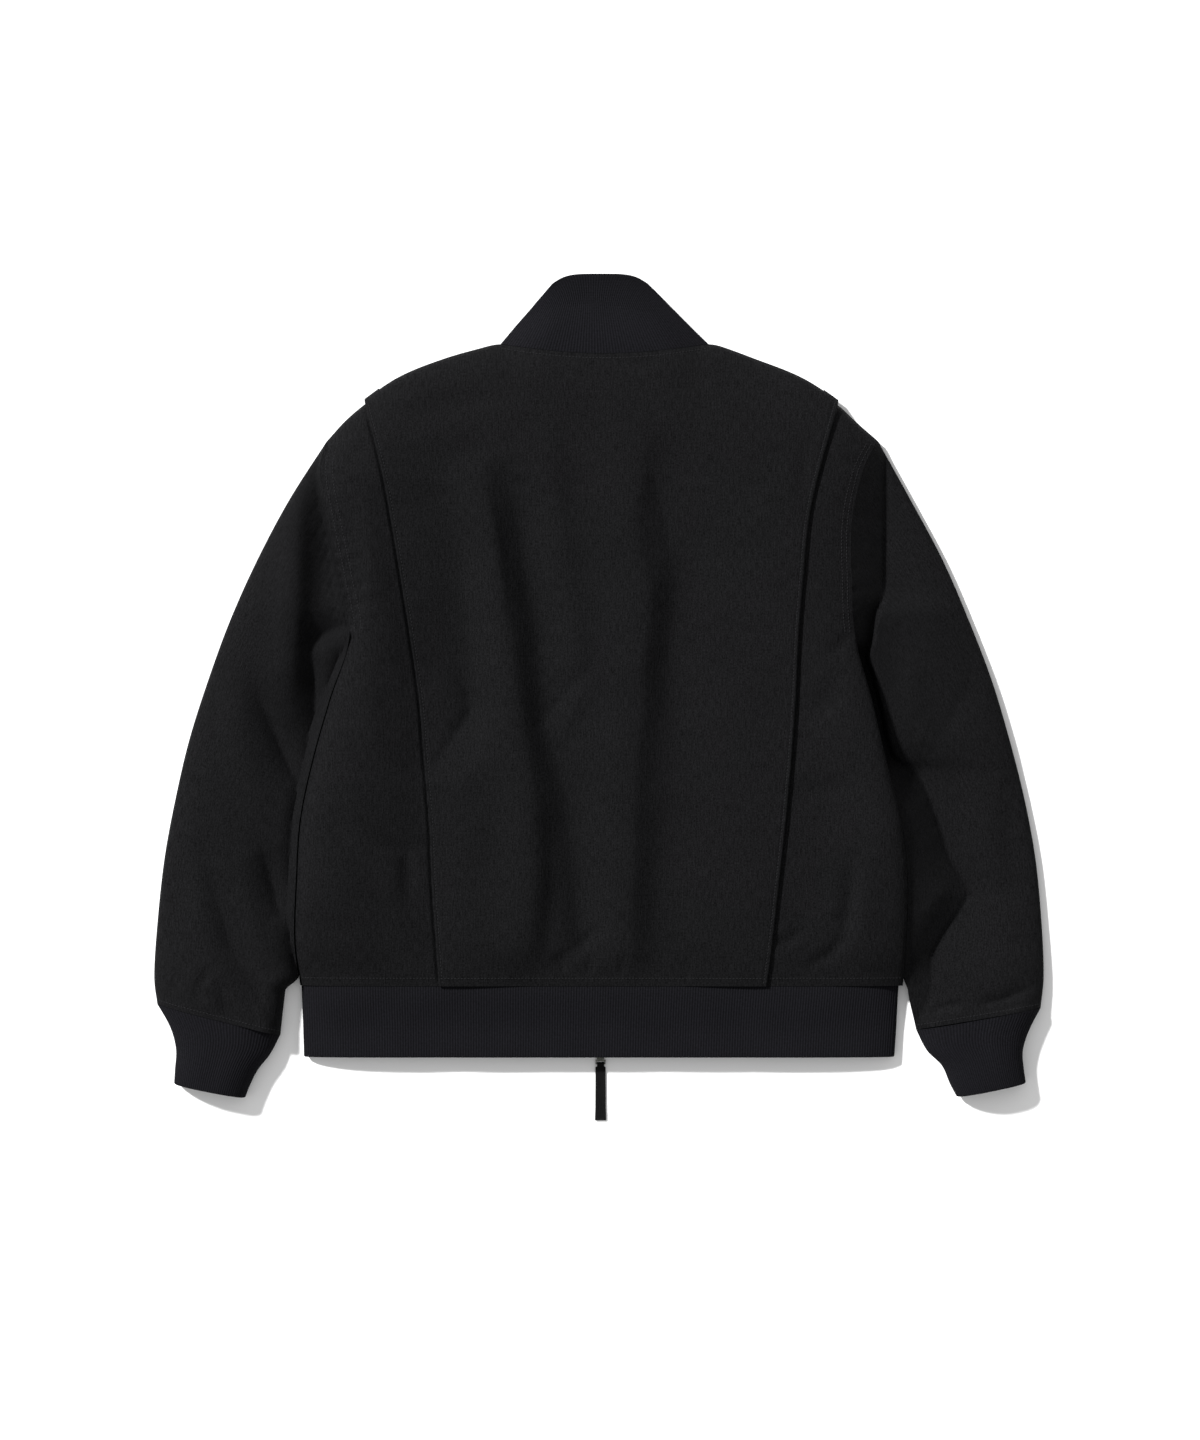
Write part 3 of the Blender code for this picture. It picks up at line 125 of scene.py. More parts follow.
COLLAR_TOP_Y = 393.0
COLLAR_TOP_X = 1.0
COLLAR_TOP_HALF = 44.0
COLLAR_CORNER = 8.0
COLLAR_HEIGHT = 13.0
COLLAR_FRONT_TOP_Y = 335.0
COLLAR_OPENING = 4.0
HEM_LEFT = -274.0
HEM_RIGHT = 274.5
HEM_END_HEIGHT = 19.0

ZIP_X = 1.5                 # middle of the zip
CHANNEL_HALF = 7.0          # half the gap between the waistband's ends
FRONT_EDGE = 3.4            # from the zip's middle to the fronts' edges
TAPE_WIDTH = 14.0
TAPE = 1.0
ZIP_FLOOR = 3.3             # underside of the zip over the waistband
ZIP_DROP = 1.1              # the zip lies this much lower inside the fronts
CHAIN_HALF = 2.8
CHAIN = 2.4
HINGE_Y = HEM_END_Y - 1.3   # the slider's pin
HINGE_Z = 1.5
SLIDER_CLEAR = 0.5
SLIDER_LENGTH = 11.0
LINK_BAR = 5.6              # from the pin to the bar that carries the tab
LINK_HALF = 4.6
TAB_LENGTH = 52.6
TAB_HALF = 4.7
TAB_WALL = 0.85

Edge = namedtuple("Edge", "y left right")
BODY_EDGES = table(Edge, [
    (-267, -277.1, 281.8), (-225.5, -281.8, 283.7), (-169.7, -279.9, 284.6), (-113.9, -276.2, 278.5),
    (-58.1, -264.6, 264.6), (-2.3, -248.8, 251.6), (57.2, -230.6, 236.2), (109.3, -239, 233.4),
    (165.1, -250.2, 233.9), (211.6, -257.6, 244.6), (238.5, -252, 258.5),
])
# The body's edge stands as high as the body this far in from a plain folded side
EDGE_LIFT = table(Edge, [
    (-267, 2, 8), (-240, 8, 28), (-188, 18, 44), (-100, 20, 50), (-20, 20, 46), (30, 22, 34),
    (57.2, 26, 28), (112, 30, 30), (238.5, 30, 30),
])
PLEAT_FOLDS = table(Edge, [
    (-267, -147.9, 155.3), (-225.5, -150.7, 160.4), (-169.7, -154.4, 166.5), (-113.9, -156.7, 172.5),
    (-58.1, -161.4, 177.6), (-2.3, -166, 181.4), (57.2, -174.4, 184.1), (109.3, -182.7, 188.3),
    (165.1, -192, 193.9), (211.6, -200.9, 204.1), (275, -217.6, 222.3),
])

Shoulder = namedtuple("Shoulder", "x y")
SHOULDER_LINE = table(Shoulder, [
    (-252, 238.5), (-236, 256.2), (-217.6, 272), (-187, 293), (-144, 312.5), (-111.6, 323.5), (-92, 328),
    (102, 328), (114.4, 325.5), (146, 312.5), (188.8, 293), (222.3, 271), (238.5, 256), (258.5, 238.5),
])

Crown = namedtuple("Crown", "y height")
CROWN = table(Crown, [
    (-267, 24), (-225, 31), (-114, 37), (-2, 39), (109, 39), (212, 36), (328, 30),
])

SleeveRow = namedtuple("SleeveRow", "outer_x outer_y inner_x inner_y height")
SLEEVE_ROWS = {
    "left": table(SleeveRow, [
        (-252.3, 238.5, -231.9, 57.2, 30), (-287.4, 183.7, -240, 30.2, 27),
        (-317.1, 127.9, -250, -3.3, 25), (-342.2, 72.1, -260.4, -37.7, 25),
        (-362.7, 16.3, -269.7, -73, 25), (-380.4, -39.5, -276.2, -110.2, 25),
        (-393.4, -95.3, -279, -149.3, 25), (-403.6, -151.1, -281, -188.3, 25),
        (-410.1, -211.6, -285.5, -229.2, 26), (-412.9, -258.1, -291.1, -272, 27),
        (-410.1, -284.1, -295.7, -312.9, 28),
    ]),
    "right": table(SleeveRow, [
        (258.8, 238.5, 237.5, 57.2, 30), (289.2, 183.7, 245, 23.7, 24), (319, 127.9, 254, -6, 21),
        (343.2, 72.1, 262, -39.5, 21), (364.6, 16.3, 270, -73.9, 22), (381.3, -39.5, 280, -111.1, 20),
        (395.3, -95.3, 285, -149.3, 19), (405.5, -151.1, 286.5, -188.3, 20),
        (411.1, -211.6, 286.5, -229.2, 22), (412.9, -258.1, 286.5, -270, 26),
        (410.1, -287.8, 294.5, -308.3, 28),
    ]),
}
SLEEVE_OUTER_LENGTH = 555.0
SLEEVE_INNER_LENGTH = 385.0
ARMHOLE_BLEND = 48.0        # the sleeve takes its own height this far from the armhole
APART_FROM_Y = -258.0       # below this the sleeve leaves the body's side
APART_RUN = 14.0
# The right sleeve dips beside the body: where the dip's far edge is, how high its near side stands
# against the body, and whether the sleeve beyond starts as low as the dip (1) or rises as a wall (0)
Dip = namedtuple("Dip", "y x bank low")
DIP = table(Dip, [
    (-304.6, 294, 0.66, 1), (-290, 301, 0.81, 1), (-272, 308.5, 0.91, 1), (-244, 309.7, 0.98, 1),
    (-222, 319.9, 1, 1), (-207, 330, 1, 1), (-193, 339, 1, 1), (-179, 343, 1, 1),
    (-148.3, 326.4, 1, 1), (-123.2, 318.5, 1, 1), (-95.3, 308.5, 0.96, 1), (-68.4, 295, 0.6, 0.9),
    (-56, 277, 0.2, 0.5), (-40, 270, 0, 0.1), (-17.2, 265, 0, 0), (23.7, 255, 0, 0),
    (35.8, 250.5, 0.1, 0), (53.5, 255.8, 0.8, 0), (79.5, 261, 1, 0.1), (91, 266.5, 1, 0.7),
    (104, 267.2, 1, 1), (222.7, 266.9, 1, 1), (232, 264, 1, 1), (238.5, 260.5, 1, 1),
])
DIP_FLOOR = 7.5
DIP_WALL = 4.0
DIP_SPREAD = 60.0           # beyond a low far edge the sleeve rises to its own height this slowly

CuffRow = namedtuple("CuffRow", "outer_x outer_y inner_x inner_y height")
CUFF_ROWS = {
    "left": table(CuffRow, [
        (-398, -305.5, -305, -331, 27), (-392.5, -326, -316.2, -345, 27),
        (-393.4, -344.6, -323.6, -359.5, 27), (-394.3, -358.5, -328.3, -371.5, 27),
    ]),
    "right": table(CuffRow, [
        (399, -309.2, 304.1, -327.5, 27), (393.4, -327.8, 318.1, -341.5, 27),
        (394.3, -344.6, 325.5, -358, 27), (396.2, -357.6, 332, -370.6, 27),
    ]),
}

# Creases: start, middle and end of each run, its depth (a valley is negative), its width on the left
# and on the right of someone who walks along it, and its profile: 2 is soft, 1 comes to an edge
Fold = namedtuple("Fold", "x1 y1 x2 y2 x3 y3 depth left right profile", defaults=(2.0,))
CREASE_ENDS = 0.25          # share of a crease's depth that is left at its two ends
BODY_FOLDS = table(Fold, [
    (-128, 26, -118, -12, -152, -64, -3.4, 8, 6, 1.4), (-7, 29, -30, 4, -56, -26, -4.5, 9, 12, 1.3),
    (44, 216, 60, 170, 68, 118, -1.8, 7, 6, 1.4), (-98, 190, -86, 140, -80, 62, -1.4, 7, 4),
    (-46, -105, -43, -175, -50, -240, -1.6, 10, 6), (-174, 262, -130, 272, -95, 279, -3, 14, 14),
    (10, 312, 36, 308, 62, 314, -1.6, 5, 4),
    # gathers over the waistband
    (-28, -226, -20, -236, -6, -246, 2.5, 9, 9), (2, -212, -22, -232, -46, -248, -2.2, 7, 5),
    (-36, -236, -34, -248, -33, -258, -1.1, 4, 4), (-8, -240, -9, -250, -11, -259, -1, 4, 4),
    (24, -234, 22, -246, 20, -258, -1.1, 4, 4), (84, -238, 82, -248, 82, -258, -0.8, 5, 5),
    (118, -240, 119, -250, 120, -259, -0.7, 5, 5), (-92, -240, -92, -250, -90, -259, -0.8, 5, 5),
    # left side panel
    (-201, -130, -178, -144, -176, -192, -3, 8, 6), (-197, -150, -192, -170, -190, -190, 1.6, 10, 10),
    (-250, -100, -240, -122, -226, -140, -1.8, 12, 9), (-262, -206, -240, -214, -214, -216, -1.4, 9, 9),
    (-213, 234, -224, 226, -236, 222, -1.6, 6, 6), (-205, 60, -196, 0, -190, -60, -1.6, 12, 12),
    # right side panel
    (234, -150, 232, -190, 226, -222, -4, 6, 9), (226, -222, 212, -238, 188, -250, -3, 7, 5),
    (246, -150, 246, -190, 240, -226, 1.6, 10, 10), (188, -214, 176, -224, 160, -229, -2.6, 5, 5),
    (178, -88, 210, -84, 242, -74, -1.6, 10, 10), (196, -20, 214, 0, 226, 30, -1.6, 10, 10),
    (190, 236, 188, 200, 194, 160, -1.3, 8, 8), (232, 60, 220, 44, 204, 38, -2, 6, 7),
])

SLEEVE_FOLDS = {
    "left": table(Fold, [
        (-280, 204, -279, 100, -288, -10, 11, 13, 21), (-262, 224, -252, 146, -243, 84, -18, 9, 27, 1.5),
        (-228, 68, -250, 61, -271, 48, -11, 8, 13, 1.2),
        (-267, 54, -263, -2, -266, -62, -15, 15, 14, 1.2),
        (-320, 13, -297, -42, -272, -96, -13, 20, 12, 1.2), (-344, 0, -326, -60, -306, -112, 2.5, 16, 18),
        (-311, -142, -301, -178, -293, -212, -12, 18, 12, 1.2),
        (-367, -138, -340, -230, -303, -292, -6, 18, 11, 1.4),
        (-332, -160, -318, -214, -302, -262, 2, 12, 12),
        (-344, 80, -350, 20, -360, -60, -2.5, 18, 14, 1.5),
        (-392, -130, -388, -180, -394, -230, -2.4, 14, 12),
        (-334, -300, -346, -286, -350, -268, -2, 5, 5), (-372, -280, -368, -264, -358, -250, -1.8, 5, 5),
        (-396, -272, -392, -262, -386, -254, -1.2, 5, 5),
    ]),
    "right": table(Fold, [
        (350, 64, 345, 13, 298, -70, -5, 44, 26, 1.1), (322, -172, 308, -192, 296, -212, 2, 9, 9),
        (404, -266, 378, -279, 350, -286, -5, 5, 8, 1.3),
        (390, -284, 372, -292, 352, -298, -2.4, 4, 5, 1.4), (306, -292, 324, -286, 342, -283, -2, 4, 4),
        (362, -60, 356, -130, 372, -190, 2, 20, 20), (392, -50, 382, -130, 392, -200, -2, 14, 14),
        (322, 128, 338, 86, 340, 44, -2.5, 16, 12, 1.5), (282, 40, 292, 10, 300, -20, 1.5, 12, 12),
    ]),
}

# Long ridges (positive) and valleys that run down the back: how high each is at places along it,
# and how wide its slopes are towards the wearer's left and right
LongFold = namedtuple("LongFold", "left right places")
Place = namedtuple("Place", "y x height")
LONG_FOLDS = [
    # down the left half
    LongFold(44, 20, table(Place, [
        (202, -152, -1), (174, -146, -6), (137, -130, -9.5), (100, -129, -12), (63, -124.5, -14),
        (26, -120, -14), (-12, -117, -12), (-49, -126, -6), (-81, -148, 0)])),
    LongFold(28, 17, table(Place, [
        (226, -108, 0), (211, -108, 3.5), (174, -102.5, 7.5), (137, -96.5, 8.5), (63, -84.5, 8.5),
        (26, -81, 8.5), (-12, -75.5, 8), (-86, -65, 8), (-160, -63, 8), (-198, -65, 7.5),
        (-230, -68, 5.5), (-255, -70, 0.5)])),
    LongFold(17, 24, table(Place, [
        (219, -92, 0), (174, -74.5, -6), (137, -68, -8), (100, -61.5, -8), (63, -54, -7),
        (-12, -48.5, -7), (-49, -42, -7), (-86, -28, -7.5), (-123, -24, -7.5), (-160, -19, -7.5),
        (-198, -16, -7.5), (-230, -14, -6), (-255, -16, -0.5)])),
    LongFold(22, 14, table(Place, [
        (249, -46, 1.5), (174, -41, 3), (137, -35, 3), (100, -30, 2), (26, -20, 3), (-12, -29, 3.5),
        (-49, -40, 0)])),
    # down the right half
    LongFold(36, 17, table(Place, [
        (249, 35, 2), (211, 38, 5), (174, 30, 6), (137, 33, 6), (100, 42, 7), (63, 41, 7.5),
        (26, 36.5, 8), (-12, 36.5, 7.5), (-49, 31, 7), (-160, 28, 7), (-230, 27, 5), (-255, 27, 0.5)])),
    LongFold(17, 26, table(Place, [
        (211, 52, -2), (174, 60, -1.5), (137, 78, -3.5), (100, 74, -4.5), (63, 72, -4.5), (26, 68, -4.5),
        (-12, 70, -3), (-49, 73, -2), (-123, 66, -2), (-160, 60, -2), (-230, 57, -1.5), (-255, 56, -0.5)])),
    # beside the left pleat's fold, and along the two sides
    LongFold(24, 26, table(Place, [
        (190, -195, -1.5), (137, -187, -4.5), (63, -176, -6), (-12, -168, -5.5), (-86, -160, -5),
        (-160, -155, -5), (-230, -151, -3), (-255, -149, 0)])),
    LongFold(14, 58, table(Place, [
        (190, -212, 0.5), (137, -207, 4), (100, -207, 5), (63, -213, 5), (26, -224, 4.5), (-12, -236, 5),
        (-60, -249, 7), (-114, -260, 9), (-180, -265, 8), (-230, -265, 4), (-255, -262, 0)])),
    LongFold(46, 20, table(Place, [
        (120, 222, 0), (57, 226, 4), (-2, 240, 7), (-58, 253, 9), (-114, 266, 10), (-170, 270, 9),
        (-225, 268, 4), (-255, 268, 0)])),
]
LONG_FOLD_CREST = 20.0      # one slope's width changes to the other's over this distance
LONG_FOLD_END = 18.0        # a fold dies out about this far past its last place

# Short puckers across the armholes' double stitching: place along the seam, depth and slant
Pucker = namedtuple("Pucker", "y depth slant")
PUCKERS = {
    "left": table(Pucker, [
        (66, -1.2, 0.3), (74, -1.7, 0.4), (83, -1.9, 0.3), (91, -1.5, 0.5), (101, -1.8, 0.2),
        (110, -1.4, 0.4), (122, -1.7, 0.3), (134, -1.1, 0.4), (147, -1.3, 0.2), (160, -0.8, 0.4),
        (174, -1.1, 0.3), (192, -0.7, 0.2),
    ]),
    "right": table(Pucker, [
        (72, -0.7, 0.3), (84, -0.6, 0.4), (99, -0.6, 0.2), (118, -0.4, 0.3), (139, -0.4, 0.2),
        (167, -0.3, 0.3), (196, -0.3, 0.2),
    ]),
}
PUCKER_WIDTH = 2.6
PUCKER_REACH = 22.0

# Soft unevenness of the cloth: how long its waves are, where its noise is taken, and its height
RIPPLES = {
    "body": [(34.0, 3.1, 0.7), (13.0, 8.4, 0.22)],
    "sleeve": [(34.0, 5.7, 0.8), (13.0, 1.9, 0.25)],
    "hem": [(46.0, 6.2, 1.1)],
    "cuff": [(28.0, 4.4, 0.8)],
}
TO_COLLAR = (0.0, 1.0, 0.0)     # direction that a cut end or a band's edge faces

# ---------------------------------------------------------------- small helpers


def mix(a, b, share):
    """The value this share of the way from a to b."""
    return a + (b - a) * share


def ease(share):
    """Smooth step from 0 to 1."""
    share = np.clip(share, 0.0, 1.0)
    return share * share * (3.0 - 2.0 * share)


def arch(distance, reach):
    """Quarter of an ellipse: 0 at an edge, 1 from the reach inwards."""
    return np.sqrt(1.0 - (1.0 - np.clip(distance / reach, 0.0, 1.0)) ** 2)


def bell(distance, width):
    """1 at a crease's middle, dying out on both sides."""
    return np.exp(-((distance / width) ** 2))


def run_along(points):
    """Length of a line up to each of its points."""
    steps = np.linalg.norm(np.diff(points, axis=0), axis=1)
    return np.concatenate([[0.0], np.cumsum(steps)])


def through(keys, values, places):
    """Values at places between the keys, on a smooth curve through them."""
    keys, values = np.asarray(keys, float), np.asarray(values, float)
    slopes = np.gradient(values, keys)
    for k in range(1, len(keys) - 1):
        slopes[k] = (values[k + 1] - values[k - 1]) / (keys[k + 1] - keys[k - 1])
    places = np.clip(places, keys[0], keys[-1])
    i = np.clip(np.searchsorted(keys, places, side="right") - 1, 0, len(keys) - 2)
    step = keys[i + 1] - keys[i]
    t = (places - keys[i]) / step
    return ((2 * t**3 - 3 * t**2 + 1) * values[i] + (t**3 - 2 * t**2 + t) * step * slopes[i]
            + (3 * t**2 - 2 * t**3) * values[i + 1] + (t**3 - t**2) * step * slopes[i + 1])


def read(table, key, column, places):
    """A column of a table at places between its rows."""
    rows = sorted(table, key=lambda row: getattr(row, key))
    return through([getattr(row, key) for row in rows], [getattr(row, column) for row in rows], places)


def read_row(table, column, share):
    """A column of a table of evenly spaced rows, at a share of its length."""
    return through(np.linspace(0.0, 1.0, len(table)), [getattr(row, column) for row in table], share)


def split(shares, cells):
    """The same shares with more between them, so many over the whole."""
    fine = []
    for low, high in zip(shares, shares[1:]):
        count = max(1, int(round((high - low) / (shares[-1] - shares[0]) * cells)))
        fine += [mix(low, high, k / count) for k in range(count)]
    return fine + [shares[-1]]


def fold_height(folds, x, y):
    """Sum of the creases at each place: soft ridges and valleys that die out at their ends."""
    total = np.zeros(np.shape(x))
    for fold in folds:
        points = ((fold.x1, fold.y1), (fold.x2, fold.y2), (fold.x3, fold.y3))
        best = np.full(np.shape(x), np.inf)
        along, turn_to = np.zeros(np.shape(x)), np.zeros(np.shape(x))
        for k in range(2):
            (ax, ay), (bx, by) = points[k], points[k + 1]
            run_x, run_y = bx - ax, by - ay
            run = math.hypot(run_x, run_y)
            t = np.clip(((x - ax) * run_x + (y - ay) * run_y) / run**2, 0.0, 1.0)
            off_x, off_y = x - ax - run_x * t, y - ay - run_y * t
            gap = np.hypot(off_x, off_y)
            nearer = gap < best
            best = np.where(nearer, gap, best)
            along = np.where(nearer, (k + t) / 2, along)
            across = (run_x * off_y - run_y * off_x) / (run * np.maximum(gap, 1e-6))
            turn_to = np.where(nearer, across, turn_to)
        width = mix(fold.right, fold.left, ease((turn_to + 1.0) / 2.0))
        fade = mix(CREASE_ENDS, 1.0, np.sin(math.pi * along))
        total = total + fold.depth * fade * np.exp(-((best / width) ** fold.profile))
    return total * bpy.context.scene.jacket_sizes.crease_strength


def long_height(x, y):
    """Sum of the long ridges and valleys that run down the back."""
    total = np.zeros(np.shape(x))
    for fold in LONG_FOLDS:
        ys = np.clip(y, fold.places[-1].y, fold.places[0].y)
        off = x - read(fold.places, "y", "x", ys)
        width = mix(fold.left, fold.right, ease(0.5 + off / LONG_FOLD_CREST))
        height = read(fold.places, "y", "height", ys) * bell(np.abs(y - ys), LONG_FOLD_END)
        total = total + height * bell(off, width)
    return total * bpy.context.scene.jacket_sizes.crease_strength


def ripples(kind, x, y):
    """Height of the soft unevenness at each place."""
    total = 0.0
    for size, seed, height in RIPPLES[kind]:
        flat = [noise.noise(Vector((a / size, b / size, seed))) for a, b in zip(np.ravel(x), np.ravel(y))]
        total = total + np.reshape(flat, np.shape(x)) * height
    return total


# ---------------------------------------------------------------- the jacket's surfaces


def edge_x(side, y):
    """The body's outer edge, or the armhole above the underarm."""
    return read(BODY_EDGES, "y", side, y)


def fold_x(side, y):
    """The pleat's folded edge."""
    return read(PLEAT_FOLDS, "y", side, y)


def in_neck(x):
    """Whether the panel ends there at the neck seam and not at a shoulder."""
    return np.abs(x - NECK_X) < NECK_HALF - 1e-6


def top_y(x, step=0.0):
    """The neck seam, or the fold along the shoulder, of a panel that stands a step past the sides."""
    neck = NECK_CORNER_Y - BACK_NECK_DROP * (1.0 - ((x - NECK_X) / NECK_HALF) ** 2)
    past_neck = np.abs(x - NECK_X) - NECK_HALF
    shoulder = read(SHOULDER_LINE, "x", "y", x) + step * ease(past_neck / SHOULDER_STEP_RUN)
    return np.where(in_neck(x), neck, shoulder)


def pucker_height(side, x, y):
    """Small gathers along the armhole, on both sides of its seam."""
    gap = np.abs(x - edge_x(side, y))
    total = np.zeros(np.shape(x))
    for pucker in PUCKERS[side]:
        from_run = y - pucker.y - pucker.slant * gap
        total = total + pucker.depth * bell(from_run, PUCKER_WIDTH)
    return total * bell(gap, PUCKER_REACH)


def body_height(x, y, step=0.0):
    """Height of the upper layer's outer face."""
    from_left = x - edge_x("left", y)
    from_right = edge_x("right", y) - x
    from_edge = np.minimum(from_left, from_right)
    on_left = from_left < from_right
    lift = np.where(on_left, *[read(EDGE_LIFT, "y", side, y) for side in SIGN])
    round_reach = np.where(on_left, EDGE_ROUND["left"], EDGE_ROUND["right"])
    from_side = from_edge + lift
    from_top = (top_y(x, step) - y) * SHOULDER_SQUARE
    from_top = from_top + NECK_LIFT * ease((NECK_HALF - np.abs(x - NECK_X)) / NECK_RUN)
    fill = arch(from_side, SIDE_REACH) * arch(from_top, SHOULDER_REACH)
    crown = read(CROWN, "y", "height", y) - FOLD_RADIUS
    above_hem = ease((y - HEM_Y) / HEM_FADE)
    soft = ripples("body", x, y)
    creases = mix(HEM_CREASES, 1.0, above_hem) * (fold_height(BODY_FOLDS, x, y) + long_height(x, y))
    puckers = (pucker_height("left", x, y) + pucker_height("right", x, y)) * fill
    rounding = round_reach * (1.0 - arch(from_edge, round_reach)) * ease((UNDERARM_Y - y) / UNDERARM_FADE)
    height = FOLD_RADIUS + (crown + creases + soft * above_hem) * fill + puckers
    return np.maximum(height - rounding * fill, np.minimum(height, FOLD_RADIUS))


def shoulder_seam_y(x):
    """The seam between back and front, straight from the armhole to the pleat and to the neck."""
    side = "left" if x < NECK_X else "right"
    tip_y = TIP_Y - SEAM_INSET
    tip_x = float(edge_x(side, tip_y))
    fold = float(fold_x(side, FOLD_TOP_Y))
    fold_y = FOLD_TOP_Y - SEAM_INSET - SHOULDER_STEP
    corner = NECK_X + SIGN[side] * NECK_HALF
    corner_y = NECK_CORNER_Y - SEAM_INSET
    if abs(x) > abs(fold):
        return mix(tip_y, fold_y, (x - tip_x) / (fold - tip_x))
    return mix(fold_y, corner_y, (x - fold) / (corner - fold))


def neckline(side, share):
    """The front neck seam, from the zip at 0 to the neck corner at 1."""
    start = ZIP_X + SIGN[side] * FRONT_EDGE
    corner = NECK_X + SIGN[side] * NECK_HALF
    top = NECK_CORNER_Y - SEAM_INSET
    return mix(start, corner, share), top - FRONT_NECK_DROP * math.sqrt(1.0 - share ** 2)


# Round a folded edge: steps from its outermost line down to the surface that the jacket lies on
TURN_ANGLES = [11.25, 22.5, 33.75, 45.0, 56.25, 67.5, 78.75, 90.0]


def turn(radius, angle):
    """How far in from the edge, and how high, the outer face is at an angle round the fold."""
    a = math.radians(angle)
    return radius * (1.0 - math.cos(a)), radius * (1.0 - math.sin(a))


# ---------------------------------------------------------------- building cloth


def make_mesh(name, bm, material, body="jacket"):
    """One piece from a mesh in millimetres, riding on its body."""
    bmesh.ops.scale(bm, vec=(MM, MM, MM), verts=bm.verts)
    mesh = bpy.data.meshes.new(name)
    bm.to_mesh(mesh)
    bm.free()
    mesh.materials.append(material)
    mesh.shade_smooth()
    mesh.set_sharp_from_angle(angle=math.radians(50))
    piece = bpy.data.objects.new(name, mesh)
    bpy.context.scene.collection.objects.link(piece)
    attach(piece, body)
    return piece


def build_wall(name, grid, pattern, thickness, material, active=None, cut_square=None,
               closed=False, flip=False, inner=None, body="jacket"):
    """A closed wall from the points of its outer face.

    pattern holds where each point lies on the flat cloth. active says which cells of the grid are
    cloth, cut_square gives the level direction that an edge's cut end faces, and closed joins the
    last column to the first.
    """
    rows, columns = len(grid), len(grid[0])
    wrap = columns if closed else columns - 1
    cells = {(i, j) for i in range(rows - 1) for j in range(wrap) if active is None or active(i, j)}

    def corners(i, j):
        return [(i, j), (i, j + 1), (i + 1, j + 1), (i + 1, j)]

    def point(key):
        return key[0], key[1] % columns

    bm = bmesh.new()
    uv_layer = bm.loops.layers.uv.new("cloth")
    used = sorted({point(key) for cell in cells for key in corners(*cell)})
    outer = {key: bm.verts.new(grid[key[0]][key[1]]) for key in used}

    def add_face(verts, keys):
        face = bm.faces.new(verts)
        for loop, key in zip(face.loops, keys):
            loop[uv_layer].uv = pattern[key[0]][key[1]]

    for cell in sorted(cells):
        keys = corners(*cell)
        add_face([outer[point(key)] for key in keys], keys)
    bm.normal_update()
    side = -1.0 if flip else 1.0
    under = {}
    for key, vert in outer.items():
        if inner is not None:
            under[key] = bm.verts.new(inner[key[0]][key[1]])
            continue
        normal = vert.normal.copy()
        facing = cut_square(*key) if cut_square else None
        if facing is not None:
            facing = Vector(facing).normalized()
            normal -= facing * normal.dot(facing)
            normal.normalize()
        under[key] = bm.verts.new(vert.co - normal * side * thickness)
    for i, j in sorted(cells):
        keys = corners(i, j)
        add_face([under[point(key)] for key in reversed(keys)], keys[::-1])
        beside = [(i - 1, j), (i, (j + 1) % columns if closed else j + 1), (i + 1, j),
                  (i, (j - 1) % columns if closed else j - 1)]
        for k in range(4):
            if beside[k] not in cells:
                a, b = keys[k], keys[(k + 1) % 4]
                add_face([outer[point(b)], outer[point(a)], under[point(a)], under[point(b)]],
                         [b, a, a, b])
    if flip:
        bmesh.ops.reverse_faces(bm, faces=bm.faces)
    return make_mesh(name, bm, material, body)


def on_cloth(grid):
    """The weave follows the jacket's own width and length."""
    return [[(x * MM, y * MM) for x, y, _ in row] for row in grid]


def row_of(xs, ys, zs):
    """A row of points; a single number serves for the whole row."""
    return list(zip(*(np.broadcast_to(a, np.shape(xs)).tolist() for a in (xs, ys, zs))))


# ---------------------------------------------------------------- the back

UNDERARM_SHARE = (UNDERARM_Y - HEM_Y) / (TIP_Y - HEM_Y)
BACK_CELLS = 176
BACK_SHARES = split([0, .05, UNDERARM_SHARE, 1], BACK_CELLS)
UNDERARM_ROW = BACK_SHARES.index(UNDERARM_SHARE)
TOP_ROW = len(BACK_SHARES) - 1
NEAR_FOLD = [.938, .946, .954, .962, .97, .978, .986, .993, 1.0]
SIDE_SHARES = np.array(split([0, .02, .1, .93], 38) + NEAR_FOLD)
FOLD_DROP = 1.7             # the left side panel dips this much at the pleat's edge
FOLD_DROP_RUN = 3.6         # the dip starts this far before the edge
FOLD_DROP_FADE = 24.0       # and dies out this far below the shoulder
TOP_BLEND = 0.15            # the rows take the shoulder's curve over this share of the length
UNDERLAY_CELLS = 6
SLOPE_STEP = 4.0            # the armhole's slope is taken this far up and down

PLEAT_STITCH = 3.4          # the edge stitching's distance from the fold
STITCH_SINK = 0.4           # how far it pulls the cloth down, and how wide
STITCH_SINK_WIDTH = 1.1
PLEAT_INSETS = [2.7, 3.4, 4.1, 5.2, 7.0, 9.0, 11.0, 13.0, 15.0, 17.0, 19.0, 21.0, 23.5, 26.0, 29.0, 32.0,
                35.0, 38.0, 41.0, 44.0, 47.0, 50.0, 53.0, 56.0, 59.0]
ROUND_FOLD = [-90.0, -67.5, -45.0, -22.5, 0.0, 22.5, 45.0, 67.5, 90.0]
CENTRE_CELLS = 92


def edge_y(share):
    """A row's place along the body's edge."""
    return mix(HEM_Y, TIP_Y, share)


